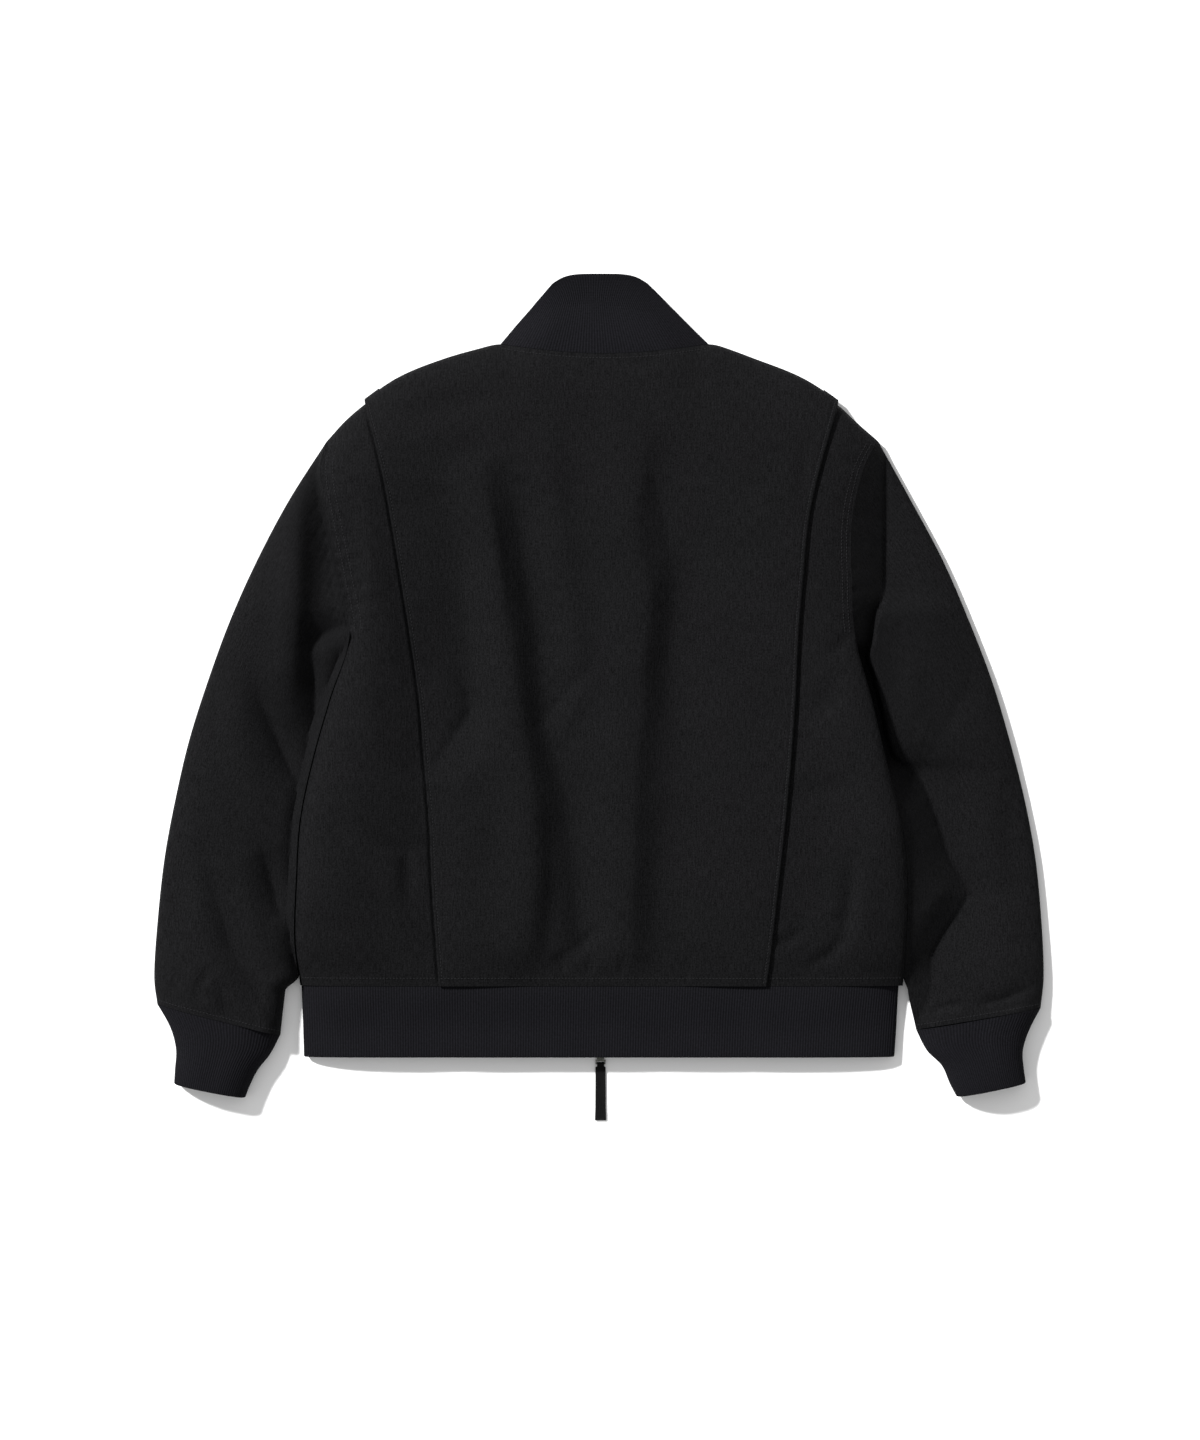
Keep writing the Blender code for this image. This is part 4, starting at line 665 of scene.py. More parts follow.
def side_row(side, share):
    """Plan places on a side panel, from the body's edge to the pleat's fold."""
    y0, y1 = edge_y(share), mix(HEM_Y, FOLD_TOP_Y - SHOULDER_STEP, share)
    xs = mix(edge_x(side, y0), fold_x(side, y1), SIDE_SHARES)
    ys = mix(y0, y1, SIDE_SHARES)
    top_end = FOLD_TOP_Y - SHOULDER_STEP
    top_xs = mix(edge_x(side, TIP_Y), fold_x(side, top_end), SIDE_SHARES)
    curve = top_y(top_xs) - mix(TIP_Y, top_end, SIDE_SHARES)
    return xs, ys + curve * ease((share - 1.0 + TOP_BLEND) / TOP_BLEND)


def armhole_facing(side, y):
    """Level direction across the armhole seam."""
    rise = float(edge_x(side, y + SLOPE_STEP) - edge_x(side, y - SLOPE_STEP))
    return (1.0, -rise / (2.0 * SLOPE_STEP), 0.0)


def fold_drop(side, xs, ys):
    """How far the left side panel dips where it goes under the pleat; the right one lies level."""
    if side == "right":
        return 0.0
    into = xs - fold_x(side, ys) + FOLD_DROP_RUN
    away_from_ends = ease((ys - HEM_Y) / HEM_FADE) * ease((FOLD_TOP_Y - ys) / FOLD_DROP_FADE)
    return FOLD_DROP * ease(into / FOLD_DROP_RUN) * away_from_ends


def build_side(side, material):
    """From the seam on the front, round the folded side and under the pleat."""
    sign = SIGN[side]
    grid = []
    for share in BACK_SHARES:
        xs, ys = side_row(side, share)
        row = [(float(xs[0]) - sign * SEAM_INSET, float(ys[0]), 0.0)]
        for angle in reversed(TURN_ANGLES):
            inward, height = turn(FOLD_RADIUS, angle)
            row.append((float(xs[0]) - sign * inward, float(ys[0]), height))
        past = np.array([UNDERLAY * k / UNDERLAY_CELLS for k in range(1, UNDERLAY_CELLS + 1)])
        xs = np.append(xs, xs[-1] - sign * past)
        ys = np.append(ys, np.full(len(past), ys[-1]))
        grid.append(row + row_of(xs, ys, body_height(xs, ys) - fold_drop(side, xs, ys)))
    first = 1 + len(TURN_ANGLES)
    last = first + len(SIDE_SHARES) - 1
    across = np.zeros(len(grid[0]))
    across[first:last + 1] = SIDE_SHARES
    across[last + 1:] = 1.0
    top = np.array(grid[TOP_ROW])
    for angle in TURN_ANGLES:
        inward, height = turn(FOLD_RADIUS, angle)
        along_armhole = float(edge_x(side, TIP_Y - inward) - edge_x(side, TIP_Y))
        grid.append(row_of(top[:, 0] + along_armhole * (1.0 - across), top[:, 1] - inward, height))
    xs = mix(float(edge_x(side, TIP_Y - SEAM_INSET)), float(fold_x(side, FOLD_TOP_Y)), across)
    grid.append([(x, shoulder_seam_y(x), 0.0) for x in xs.tolist()])

    def active(i, j):
        if i >= TOP_ROW:
            return first <= j < last
        return j >= first or i < UNDERARM_ROW

    def cut_square(i, j):
        if i == 0:
            return TO_COLLAR
        if j == first and i >= UNDERARM_ROW:
            return armhole_facing(side, grid[i][j][1])
        return None

    return build_wall(f"back_side_{side}_cloth", grid, on_cloth(grid), SHELL, material,
                      active, cut_square, flip=side == "right")


def pleat_stack(side, share):
    """Height of the folded edge above the side panel; the right pleat gapes."""
    gape = RIGHT_GAPE * math.sin(math.pi * (1.0 - share)) if side == "right" else 0.0
    return FOLD_STACK + gape


def pleat_lift(stack, inward):
    """How far the centre panel's face is above the body's surface, this far in from the fold."""
    stitched = STITCH_SINK * bell(inward - PLEAT_STITCH, STITCH_SINK_WIDTH)
    return (stack - stitched) * (1.0 - ease((inward - RETURN) / (FOLD_FADE - RETURN)))


def centre_span(y):
    """The smooth middle of the centre panel, clear of both folded edges."""
    return float(fold_x("left", y)) + FOLD_ZONE, float(fold_x("right", y)) - FOLD_ZONE


def centre_shares():
    """Across the centre panel between its two pleats, with a column at each neck corner."""
    left, right = centre_span(FOLD_TOP_Y)
    corner_a = (NECK_X - NECK_HALF - left) / (right - left)
    corner_b = (NECK_X + NECK_HALF - left) / (right - left)
    return np.array(split([0, corner_a, corner_b, 1], CENTRE_CELLS))


def centre_edge(side, share):
    """A row's points beside one pleat, from its return round the fold to the panel's smooth middle."""
    fold_y = mix(HEM_Y, FOLD_TOP_Y, share)
    stack = pleat_stack(side, share)
    radius = (stack - FOLD_CLEAR) / 2
    inwards = [RETURN, RETURN / 2]
    lifts = [FOLD_CLEAR, FOLD_CLEAR]
    for angle in ROUND_FOLD:
        a = math.radians(angle)
        inwards.append(radius * (1.0 - math.cos(a)))
        lifts.append(FOLD_CLEAR + radius * (1.0 + math.sin(a)))
    inwards = np.array(inwards + PLEAT_INSETS)
    lifts = np.append(lifts, pleat_lift(stack, np.array(PLEAT_INSETS)))
    away = float(fold_x("right", fold_y) - fold_x("left", fold_y)) - inwards
    lifts += pleat_lift(pleat_stack(OTHER[side], share), away)
    xs = float(fold_x(side, fold_y)) - SIGN[side] * inwards
    x_top = float(fold_x(side, FOLD_TOP_Y)) - SIGN[side] * inwards
    ys = mix(HEM_Y, top_y(x_top, SHOULDER_STEP), share)
    return row_of(xs, ys, body_height(xs, ys, SHOULDER_STEP) + lifts)


def build_centre(material):
    """Between the two pleats, with both edges folded under."""
    shares_across = centre_shares()
    grid = []
    for share in BACK_SHARES:
        fold_y = mix(HEM_Y, FOLD_TOP_Y, share)
        left, right = centre_span(fold_y)
        left_top, right_top = centre_span(FOLD_TOP_Y)
        x_top = mix(left_top, right_top, shares_across)
        xs = mix(left, right, shares_across)
        ys = mix(HEM_Y, top_y(x_top, SHOULDER_STEP), share)
        lifts = pleat_lift(pleat_stack("left", share), xs - float(fold_x("left", fold_y)))
        lifts = lifts + pleat_lift(pleat_stack("right", share), float(fold_x("right", fold_y)) - xs)
        middle = row_of(xs, ys, body_height(xs, ys, SHOULDER_STEP) + lifts)
        grid.append(centre_edge("left", share) + middle + centre_edge("right", share)[::-1])
    start = 2 + len(ROUND_FOLD) + len(PLEAT_INSETS)
    neck_columns = {start + k for k, x in enumerate(x_top.tolist()) if in_neck(x)}
    fold_columns = 1 + len(ROUND_FOLD)
    columns = len(grid[0])
    top = np.array(grid[TOP_ROW])
    for angle in TURN_ANGLES:
        inward, height = turn(FOLD_RADIUS, angle)
        grid.append(row_of(top[:, 0], top[:, 1] - inward, height))
    grid.append([(x, shoulder_seam_y(x), 0.0) for x in top[:, 0].tolist()])

    def active(i, j):
        if i < TOP_ROW:
            return True
        on_shoulder = fold_columns <= j < columns - 1 - fold_columns
        return on_shoulder and not (j in neck_columns or j + 1 in neck_columns)

    def cut_square(i, j):
        if i == 0 or i == TOP_ROW and j in neck_columns:
            return TO_COLLAR
        return None

    return build_wall("back_centre_cloth", grid, on_cloth(grid), SHELL, material,
                      active, cut_square)


# ---------------------------------------------------------------- the fronts

FRONT_SHARES = split([0, UNDERARM_SHARE], 40) + split([.6428, .975], 30)
FRONT_UNDERARM_ROW = FRONT_SHARES.index(UNDERARM_SHARE)
NECK_SHARES = [1.0, .98, .93, .87, .78, .67, .55, .42, .3, .15, 0.0]


def build_front(side, material):
    """Flat on the surface: from the side and shoulder seams to the zip."""
    sign = SIGN[side]
    strip = SEAM_INSET + SEAM_GAP
    centre = ZIP_X + sign * FRONT_EDGE
    top_share = FRONT_SHARES[-1]
    top_edge = float(edge_x(side, edge_y(top_share))) - sign * strip
    fold = float(fold_x(side, FOLD_TOP_Y))
    corner = neckline(side, 1.0)[0]
    half_way = mix(fold, corner, 0.5)
    tops = [(fold, shoulder_seam_y(fold) - SEAM_GAP), (half_way, shoulder_seam_y(half_way) - SEAM_GAP)]
    for share in NECK_SHARES:
        x, y = neckline(side, share)
        tops.append((x, y - SEAM_GAP))
    grid = []
    for share in FRONT_SHARES:
        y = edge_y(share)
        x = float(edge_x(side, y))
        inset = x - sign * strip
        row = [(x, y, 0.0), (inset, y, 0.0)]
        if share == top_share:
            row[1] = (inset, shoulder_seam_y(inset) - SEAM_GAP, 0.0)
        for top_x, top in tops:
            across = (top_x - top_edge) / (centre - top_edge)
            row.append((mix(inset, centre, across), mix(HEM_Y, top, share / top_share), 0.0))
        grid.append(row)

    def active(i, j):
        return j > 0 or i > FRONT_UNDERARM_ROW

    inner = [[(x, y, CLOTH) for x, y, _ in row] for row in grid]
    return build_wall(f"front_{side}_cloth", grid, on_cloth(grid), CLOTH, material,
                      active, flip=side == "left", inner=inner)


# ---------------------------------------------------------------- sleeves and cuffs

SLEEVE_CELLS = 186
SLEEVE_TOP = np.linspace(0.0, 1.0, 64)
SLEEVE_UNDER = np.linspace(0.06, 0.94, 12)
TUBE_REACH = 0.42           # a flattened tube has its full height this share of its width in
INNER_REACH = 0.16          # on its inner side the sleeve steepens to this, over the run below
INNER_REACH_RUN = 60.0
ARMHOLE_FOLLOW = 0.25       # the first rows follow the armhole's curve, over this share of the length
SLEEVE_START_FADE = 10.0    # creases start this far from the armhole, puckers sooner
PUCKER_START_FADE = 3.0
SLEEVE_END_FADE = 9.0       # creases get weaker this far from the cuff
SLEEVE_END_CREASES = 0.3


def tube_ring(width, radius, top_shares, under_shares, height_at, plan_at):
    """Points round a flattened tube: over the top from its outer edge, then back underneath."""
    xs, ys = plan_at(top_shares)
    ring = row_of(xs, ys, height_at(top_shares))
    for angle in TURN_ANGLES:
        inward, height = turn(radius, angle)
        x, y = plan_at(np.array([1.0 - inward / width]))
        ring.append((float(x[0]), float(y[0]), height))
    xs, ys = plan_at(under_shares[::-1])
    ring += row_of(xs, ys, 0.0)
    for angle in reversed(TURN_ANGLES):
        inward, height = turn(radius, angle)
        x, y = plan_at(np.array([inward / width]))
        ring.append((float(x[0]), float(y[0]), height))
    return ring


def sleeve_line(side, station):
    """The outer and inner edge of a flattened sleeve, this share of its length down."""
    rows, sign = SLEEVE_ROWS[side], SIGN[side]
    outer, inner = [Vector((float(read_row(rows, f"{end}_x", station)),
                            float(read_row(rows, f"{end}_y", station)))) for end in ("outer", "inner")]
    if inner.y > HEM_END_Y:
        body = float(edge_x(side, inner.y)) + sign * SIDE_GAP
        apart = float(ease((APART_FROM_Y - inner.y) / APART_RUN)) * max(sign * (inner.x - body), 0.0)
        inner.x = body + sign * apart
    return outer, inner


def dip(x, y, own):
    """The right sleeve's height where it falls from the body's edge into its dip and rises again."""
    beyond = x - read(DIP, "y", "x", y)
    low = read(DIP, "y", "low", y) * np.maximum(own - DIP_FLOOR, 0.0)
    shore = own - low * np.exp(-np.maximum(beyond, 0.0) / DIP_SPREAD)
    edge = edge_x("right", y)
    bank = body_height(edge, y) * read(DIP, "y", "bank", y)
    across = np.clip(-beyond / np.maximum(x - beyond - edge, 1.0), 0.0, 1.0)
    slope = mix(DIP_FLOOR, bank, across)
    return mix(shore, slope, ease(-beyond / DIP_WALL))


def sleeve_ring(side, station):
    """The points round a sleeve, this share of its length down."""
    rows, sign = SLEEVE_ROWS[side], SIGN[side]
    outer, inner = sleeve_line(side, station)
    height = float(read_row(rows, "height", station))
    width = (inner - outer).length
    first = rows[0]
    follow = (1.0 - min(station / ARMHOLE_FOLLOW, 1.0)) ** 2

    def plan_at(share):
        y = mix(TIP_Y, UNDERARM_Y, share)
        armhole = edge_x(side, y) + sign * mix(SEAM_GAP, SIDE_GAP, share ** 6)
        bulge_x = armhole - mix(first.outer_x, first.inner_x, share)
        bulge_y = y - mix(first.outer_y, first.inner_y, share)
        return (mix(outer.x, inner.x, share) + bulge_x * follow,
                mix(outer.y, inner.y, share) + bulge_y * follow)

    def height_at(share):
        run = station * mix(SLEEVE_OUTER_LENGTH, SLEEVE_INNER_LENGTH, share)
        reach = TUBE_REACH * width
        inner_reach = mix(reach, INNER_REACH * width, ease((UNDERARM_Y - inner.y) / INNER_REACH_RUN))
        fill = arch(share * width, reach) * arch((1.0 - share) * width, inner_reach)
        y = mix(TIP_Y, UNDERARM_Y, share)
        at_armhole = body_height(edge_x(side, y), y)
        xs, ys = plan_at(share)
        end_fade = ease((1.0 - station) * SLEEVE_INNER_LENGTH / SLEEVE_END_FADE)
        creases = fold_height(SLEEVE_FOLDS[side], xs, ys) + ripples("sleeve", xs, ys)
        creases = creases * mix(SLEEVE_END_CREASES, 1.0, end_fade)
        own = FOLD_RADIUS + (height - FOLD_RADIUS) * fill
        if side == "right":
            own = dip(xs, ys, own)
        level = mix(at_armhole, own, 1.0 if side == "right" else ease(run / ARMHOLE_BLEND))
        level = level + creases * fill * ease(run / SLEEVE_START_FADE)
        at_edge = float(body_height(edge_x(side, inner.y), inner.y)) + BESIDE_RISE
        beside = at_edge * (1.0 - ease((1.0 - share) * width / BESIDE)) * (inner.y > APART_FROM_Y)
        if side == "left":
            level = np.maximum(level, beside)
        level = level + pucker_height(side, xs, ys) * ease(run / PUCKER_START_FADE) * fill
        return np.maximum(level, FOLD_RADIUS)

    return tube_ring(width, FOLD_RADIUS, SLEEVE_TOP, SLEEVE_UNDER, height_at, plan_at)


def round_pattern(grid, middle):
    """Where each ring's points lie on the flat cloth, measured from the middle of its upper side."""
    points = np.array(grid)
    downs = run_along(points[:, middle])
    pattern = []
    for ring, down in zip(points, downs.tolist()):
        steps = np.linalg.norm(np.roll(ring, -1, axis=0) - ring, axis=1)
        rounds = np.concatenate([[0.0], np.cumsum(steps)])
        rounds -= rounds[middle]
        pattern.append([(a * MM, -down * MM) for a in rounds.tolist()])
    return pattern


def build_sleeve(side, material):
    """A flattened tube from the armhole to the cuff."""
    grid = [sleeve_ring(side, station) for station in np.linspace(0.0, 1.0, SLEEVE_CELLS + 1)]
    last = SLEEVE_ROWS[side][-1]
    end_facing = (-(last.inner_y - last.outer_y), last.inner_x - last.outer_x, 0.0)

    def cut_square(i, j):
        if i == 0:
            return armhole_facing(side, grid[i][j][1])
        if i == len(grid) - 1:
            return end_facing
        return None

    return build_wall(f"sleeve_{side}_cloth", grid, round_pattern(grid, len(SLEEVE_TOP) // 2), CLOTH,
                      material, cut_square=cut_square, closed=True, flip=side == "left")


# ---------------------------------------------------------------- rib knit

RIB_STEPS = 4               # points across one rib: its top, its flank, its groove and its flank
FREE_EDGE = 1.5             # the knit is folded round at its free edge
EDGE_ROWS = [0.0, 0.12, 0.4, 0.8, 1.5]
GROOVE = (0.0, 0.5, 1.0, 0.5)


def rib_count(length):
    """How many ribs a band of this many millimetres has."""
    return int(round(length * MM / bpy.context.scene.jacket_sizes.rib_pitch))


def resample(points, count, closed):
    """The same line with evenly spaced points."""
    points = np.asarray(points, float)
    if closed:
        points = np.vstack([points, points[:1]])
    runs = run_along(points)
    places = np.linspace(0.0, runs[-1], count + 1 if closed else count)
    even = np.stack([np.interp(places, runs, points[:, k]) for k in range(3)], axis=1)
    return even[:-1] if closed else even


def free_rows(length, cells):
    """Shares of a band's length, close together at its rounded free edge."""
    body = [k / cells * (length - FREE_EDGE) / length for k in range(cells)]
    return body + [(length - gap) / length for gap in reversed(EDGE_ROWS)]


def build_ribs(name, lines, downs, ribs, closed, facings, material, flip=False):
    """A band of rib knit from lines round it, one for each distance down from its seam."""
    sizes = bpy.context.scene.jacket_sizes
    count = ribs * RIB_STEPS + (0 if closed else 1)
    base = np.array([resample(line, count, closed) for line in lines])
    down = np.gradient(base, axis=0)
    if closed:
        around = (np.roll(base, -1, axis=1) - np.roll(base, 1, axis=1)) / 2
    else:
        around = np.gradient(base, axis=1)
    normals = np.cross(around, down)
    for i in (0, len(lines) - 1):
        facing = np.array(facings[i], float)
        facing /= np.linalg.norm(facing)
        normals[i] -= facing * (normals[i] @ facing)[:, None]
    normals /= np.linalg.norm(normals, axis=2)[:, :, None]
    if flip:
        normals = -normals
    inset = np.array([GROOVE[k % RIB_STEPS] for k in range(count)]) * sizes.rib_depth / MM
    from_end = downs[-1] - np.array(downs)
    rounded = FREE_EDGE - np.sqrt(np.maximum(FREE_EDGE**2 - np.maximum(FREE_EDGE - from_end, 0.0)**2, 0.0))
    rounded = np.minimum(rounded, RIB / 2 - 0.15)
    outer = base - normals * (np.minimum(inset[None, :] + rounded[:, None], RIB / 2 - 0.1))[:, :, None]
    inner = base - normals * (RIB - rounded)[:, None, None]
    pitch = sizes.rib_pitch / RIB_STEPS
    pattern = [[(k * pitch, -d * MM) for k in range(count + 1)] for d in downs]
    return build_wall(name, outer.tolist(), pattern, RIB, material, closed=closed,
                      flip=flip, inner=inner.tolist())


HEM_TOP = np.array(split([0, .02, .09, .5, .91, .98, 1], 220))
HEM_LENGTH = HEM_Y - SEAM_GAP - HEM_END_Y
HEM_ROUND = 1090.0          # the cut lengths of the three kinds of band give their numbers of ribs
HEM_CELLS = 22
HEM_HEIGHT_RATE = 1.5       # the band has its end's height after one part in this many of its length
HEM_RIPPLE_RATE = 3.0       # and its full unevenness after one part in this many
HEM_NARROWER = {"left": 1.0, "right": 3.5}  # the seam is this much further in than the body's edge


def build_hem(material):
    """Runs from the zip round the left side, over the back and round to the zip again."""
    seam_left = BODY_EDGES[0].left + HEM_NARROWER["left"]
    seam_right = BODY_EDGES[0].right - HEM_NARROWER["right"]
    shares = free_rows(HEM_LENGTH, HEM_CELLS)
    lines = []
    for share in shares:
        y = mix(HEM_Y - SEAM_GAP, HEM_END_Y, share)
        left, right = mix(seam_left, HEM_LEFT, share), mix(seam_right, HEM_RIGHT, share)
        height = mix(CROWN[0].height, HEM_END_HEIGHT, float(ease(share * HEM_HEIGHT_RATE)))
        line = [(ZIP_X - CHANNEL_HALF, y, 0.0), (left + FOLD_RADIUS, y, 0.0)]
        for angle in list(reversed(TURN_ANGLES))[1:]:
            inward, up = turn(FOLD_RADIUS, angle)
            line.append((left + inward, y, up))
        xs = mix(left, right, HEM_TOP)
        fill = arch(np.minimum(HEM_TOP, 1.0 - HEM_TOP) * (right - left), SIDE_REACH)
        soft = ripples("hem", xs, np.full(len(xs), y)) * float(ease(share * HEM_RIPPLE_RATE))
        line += row_of(xs, y, FOLD_RADIUS + (height - FOLD_RADIUS + soft) * fill)
        for angle in TURN_ANGLES[:-1]:
            inward, up = turn(FOLD_RADIUS, angle)
            line.append((right - inward, y, up))
        line += [(right - FOLD_RADIUS, y, 0.0), (ZIP_X + CHANNEL_HALF, y, 0.0)]
        lines.append(line)
    downs = [share * HEM_LENGTH for share in shares]
    return build_ribs("hem_band_knit", lines, downs, rib_count(HEM_ROUND), False,
                      [TO_COLLAR] * len(lines), material, flip=True)


CUFF_TOP = np.linspace(0.0, 1.0, 60)
CUFF_UNDER = np.linspace(0.17, 0.83, 8)
CUFF_LENGTH = 66.0
CUFF_ROUND = 200.0
CUFF_CELLS = 26
CUFF_RATE = 4.0             # a cuff has its own fold and unevenness after one part in this many


def build_cuff(side, material):
    """Gathers the sleeve's end, then runs almost straight to its own."""
    last = SLEEVE_ROWS[side][-1]
    across = Vector((last.inner_x - last.outer_x, last.inner_y - last.outer_y)).normalized()
    onward = Vector((across.y, -across.x)) * -SIGN[side] * SEAM_GAP
    first = CuffRow(last.outer_x + onward.x, last.outer_y + onward.y,
                    last.inner_x + onward.x, last.inner_y + onward.y, last.height)
    rows = [first] + CUFF_ROWS[side]
    shares = free_rows(CUFF_LENGTH, CUFF_CELLS)
    lines, facings = [], []
    for share in shares:
        row = CuffRow(*(float(read_row(rows, column, share)) for column in CuffRow._fields))
        outer = Vector((row.outer_x, row.outer_y))
        inner = Vector((row.inner_x, row.inner_y))
        width = (inner - outer).length
        radius = mix(FOLD_RADIUS, CUFF_FOLD_RADIUS, float(ease(share * CUFF_RATE)))

        def plan_at(places):
            return mix(outer.x, inner.x, places), mix(outer.y, inner.y, places)

        def height_at(places):
            reach = TUBE_REACH * width
            fill = arch(places * width, reach) * arch((1.0 - places) * width, reach)
            xs, ys = plan_at(places)
            soft = ripples("cuff", xs, ys) * float(ease(share * CUFF_RATE))
            return radius + (row.height - radius + soft) * fill

        lines.append(tube_ring(width, radius, CUFF_TOP, CUFF_UNDER, height_at, plan_at))
        facings.append((-(inner - outer).y, (inner - outer).x, 0.0))
    downs = [share * CUFF_LENGTH for share in shares]
    return build_ribs(f"cuff_{side}_knit", lines, downs, rib_count(CUFF_ROUND), True, facings, material,
                      flip=side == "left")


COLLAR_UPPER = 90           # cells along the collar behind the neck, and along each front half
COLLAR_LOWER = 40
COLLAR_LENGTH = 72.0
COLLAR_ROUND = 400.0
COLLAR_CELLS = 26
COLLAR_FRONT_STEP = 2.0     # its front half ends this much lower than the half behind the neck
COLLAR_SWEEP = 1.3          # higher makes the front edge rise later
COLLAR_ROUNDING = 4         # higher makes the corners tighter
COLLAR_REACH = 30.0         # its top has its full height this far in from its folded sides


def collar_columns():
    """Each place round the neck, with where the collar starts there and where it ends."""
    def lower_side(side):
        sign = SIGN[side]
        edge = NECK_X + sign * (NECK_HALF - SEAM_GAP - 0.2)
        top_edge = COLLAR_TOP_X + sign * COLLAR_TOP_HALF
        columns = []
        for k in range(COLLAR_LOWER):
            share = math.sin(math.pi / 2 * k / COLLAR_LOWER)
            x, y = neckline(side, share)
            top_x = mix(ZIP_X + sign * COLLAR_OPENING, top_edge - sign * COLLAR_FOLD_RADIUS, share)
            side_top = COLLAR_TOP_Y - COLLAR_CORNER - COLLAR_FRONT_STEP
            top = mix(COLLAR_FRONT_TOP_Y, side_top, share ** COLLAR_SWEEP)
            columns.append(((x, y + SEAM_GAP, 0.0), (top_x, top, 0.0)))
        for angle in reversed(TURN_ANGLES):
            inward, height = turn(FOLD_RADIUS, angle)
            top_inward, top_height = turn(COLLAR_FOLD_RADIUS, angle)
            columns.append(((edge, NECK_CORNER_Y - inward, height),
                            (top_edge - sign * top_inward, COLLAR_TOP_Y - COLLAR_CORNER, top_height)))
        return columns

    upper = []
    for k in range(COLLAR_UPPER + 1):
        across = k / COLLAR_UPPER
        x = mix(NECK_X - NECK_HALF + 0.5, NECK_X + NECK_HALF - 0.5, across)
        y = float(top_y(x))
        top_x = mix(-COLLAR_TOP_HALF, COLLAR_TOP_HALF, across)
        height = float(arch(COLLAR_TOP_HALF - abs(top_x), COLLAR_REACH))
        height = height * (COLLAR_HEIGHT - COLLAR_FOLD_RADIUS)
        corner = COLLAR_CORNER * (abs(top_x) / COLLAR_TOP_HALF) ** COLLAR_ROUNDING
        upper.append(((x, y + SEAM_GAP, float(body_height(x, y))),
                      (COLLAR_TOP_X + top_x, COLLAR_TOP_Y - corner, COLLAR_FOLD_RADIUS + height)))
    return lower_side("left") + upper + lower_side("right")[::-1]


def build_collar(material):
    """Runs from the zip round the left of the neck, over the back of it and round again."""
    columns = collar_columns()
    shares = free_rows(COLLAR_LENGTH, COLLAR_CELLS)
    lines = []
    for share in shares:
        rise = float(ease(share))
        lines.append([(mix(seam[0], top[0], share), mix(seam[1], top[1], share),
                       mix(seam[2], top[2], rise)) for seam, top in columns])
    downs = [share * COLLAR_LENGTH for share in shares]
    return build_ribs("collar_knit", lines, downs, rib_count(COLLAR_ROUND), False,
                      [TO_COLLAR] * len(lines), material)


# ---------------------------------------------------------------- stitching

# Along half a stitch's length: how thick the thread is there, and how far it stands out of the cloth
THREAD_SECTIONS = [(-1.0, 0.25, -0.55), (-0.7, 0.85, 0.1), (0.0, 1.0, 0.4), (0.7, 0.85, 0.1),
                   (1.0, 0.25, -0.55)]
THREAD_SIDES = 6
THREAD_FLAT = 0.8           # its thickness as a share of its width
RAY_HEIGHT = 0.2            # metres; the cloth is looked for from here down
STITCH_GAP = 0.1            # share of the pitch that is bare at either end of a stitch


def add_stitch(bm, middle, along, up, length, width):
    """One thread of a seam: a rounded bar that dives into the cloth at both ends."""
    across = along.cross(up).normalized()
    rings = []
    for place, girth, rise in THREAD_SECTIONS:
        centre = middle + along * (place * length / 2) + up * (rise * width)
        ring = []
        for k in range(THREAD_SIDES):
            a = 2.0 * math.pi * k / THREAD_SIDES
            out = across * math.cos(a) + up * math.sin(a) * THREAD_FLAT
            ring.append(bm.verts.new(centre + out * (girth * width / 2)))
        rings.append(ring)
    for a, b in zip(rings, rings[1:]):
        for k in range(THREAD_SIDES):
            m = (k + 1) % THREAD_SIDES
            bm.faces.new((a[k], a[m], b[m], b[k]))
    bm.faces.new(rings[0][::-1])
    bm.faces.new(rings[-1])


def cloth_tree(piece):
    """A finished piece, ready to be asked for the place that a ray meets."""
    return BVHTree.FromObject(piece, bpy.context.evaluated_depsgraph_get())


def lay_on(trees, x, y):
    """Point and normal of the uppermost cloth at a place in plan."""
    best = None
    for tree in trees:
        place, normal, _, _ = tree.ray_cast(Vector((x * MM, y * MM, RAY_HEIGHT)), Vector((0, 0, -1)))
        if place is not None and (best is None or place.z > best[0].z):
            best = (place, normal)
    if best is None:
        return None
    return best[0] / MM, best[1] if best[1].z > 0 else -best[1]


def stitch_row(bm, trees, line):
    """Lays a row of lockstitches along a line in plan."""
    sizes = bpy.context.scene.jacket_sizes
    pitch = sizes.stitch_pitch / MM
    points = [found for found in (lay_on(trees, x, y) for x, y in line) if found]
    spots = np.array([list(place) for place, _ in points])
    runs = run_along(spots)
    count = int(runs[-1] / pitch)
    ups = np.array([list(normal) for _, normal in points])
    for k in range(count):
        ends = []
        for place in (k * pitch + pitch * STITCH_GAP, (k + 1) * pitch - pitch * STITCH_GAP):
            ends.append(Vector([np.interp(place, runs, spots[:, c]) for c in range(3)]))
        up = Vector([np.interp((k + 0.5) * pitch, runs, ups[:, c]) for c in range(3)]).normalized()
        along = ends[1] - ends[0]
        length = along.length
        along.normalize()
        up = (up - along * up.dot(along)).normalized()
        add_stitch(bm, (ends[0] + ends[1]) / 2, along, up, length, sizes.stitch_width / MM)


def line_between(low, high, step, place):
    """Points in plan from a function of a running measure."""
    count = max(2, int(abs(high - low) / step))
    return [place(mix(low, high, k / count)) for k in range(count + 1)]


HEM_STITCH = 7.4            # the rows' distances from their seams
NECK_STITCH = 4.2
CUFF_STITCH = 4.0
ARMHOLE_STITCHES = {"left": (5.2, 11.6), "right": (4.4, 9.0)}
ROW_STEP = 2.0              # a row is measured on the cloth this often
ROW_END = 2.0               # and stops this far from the seams that it runs to


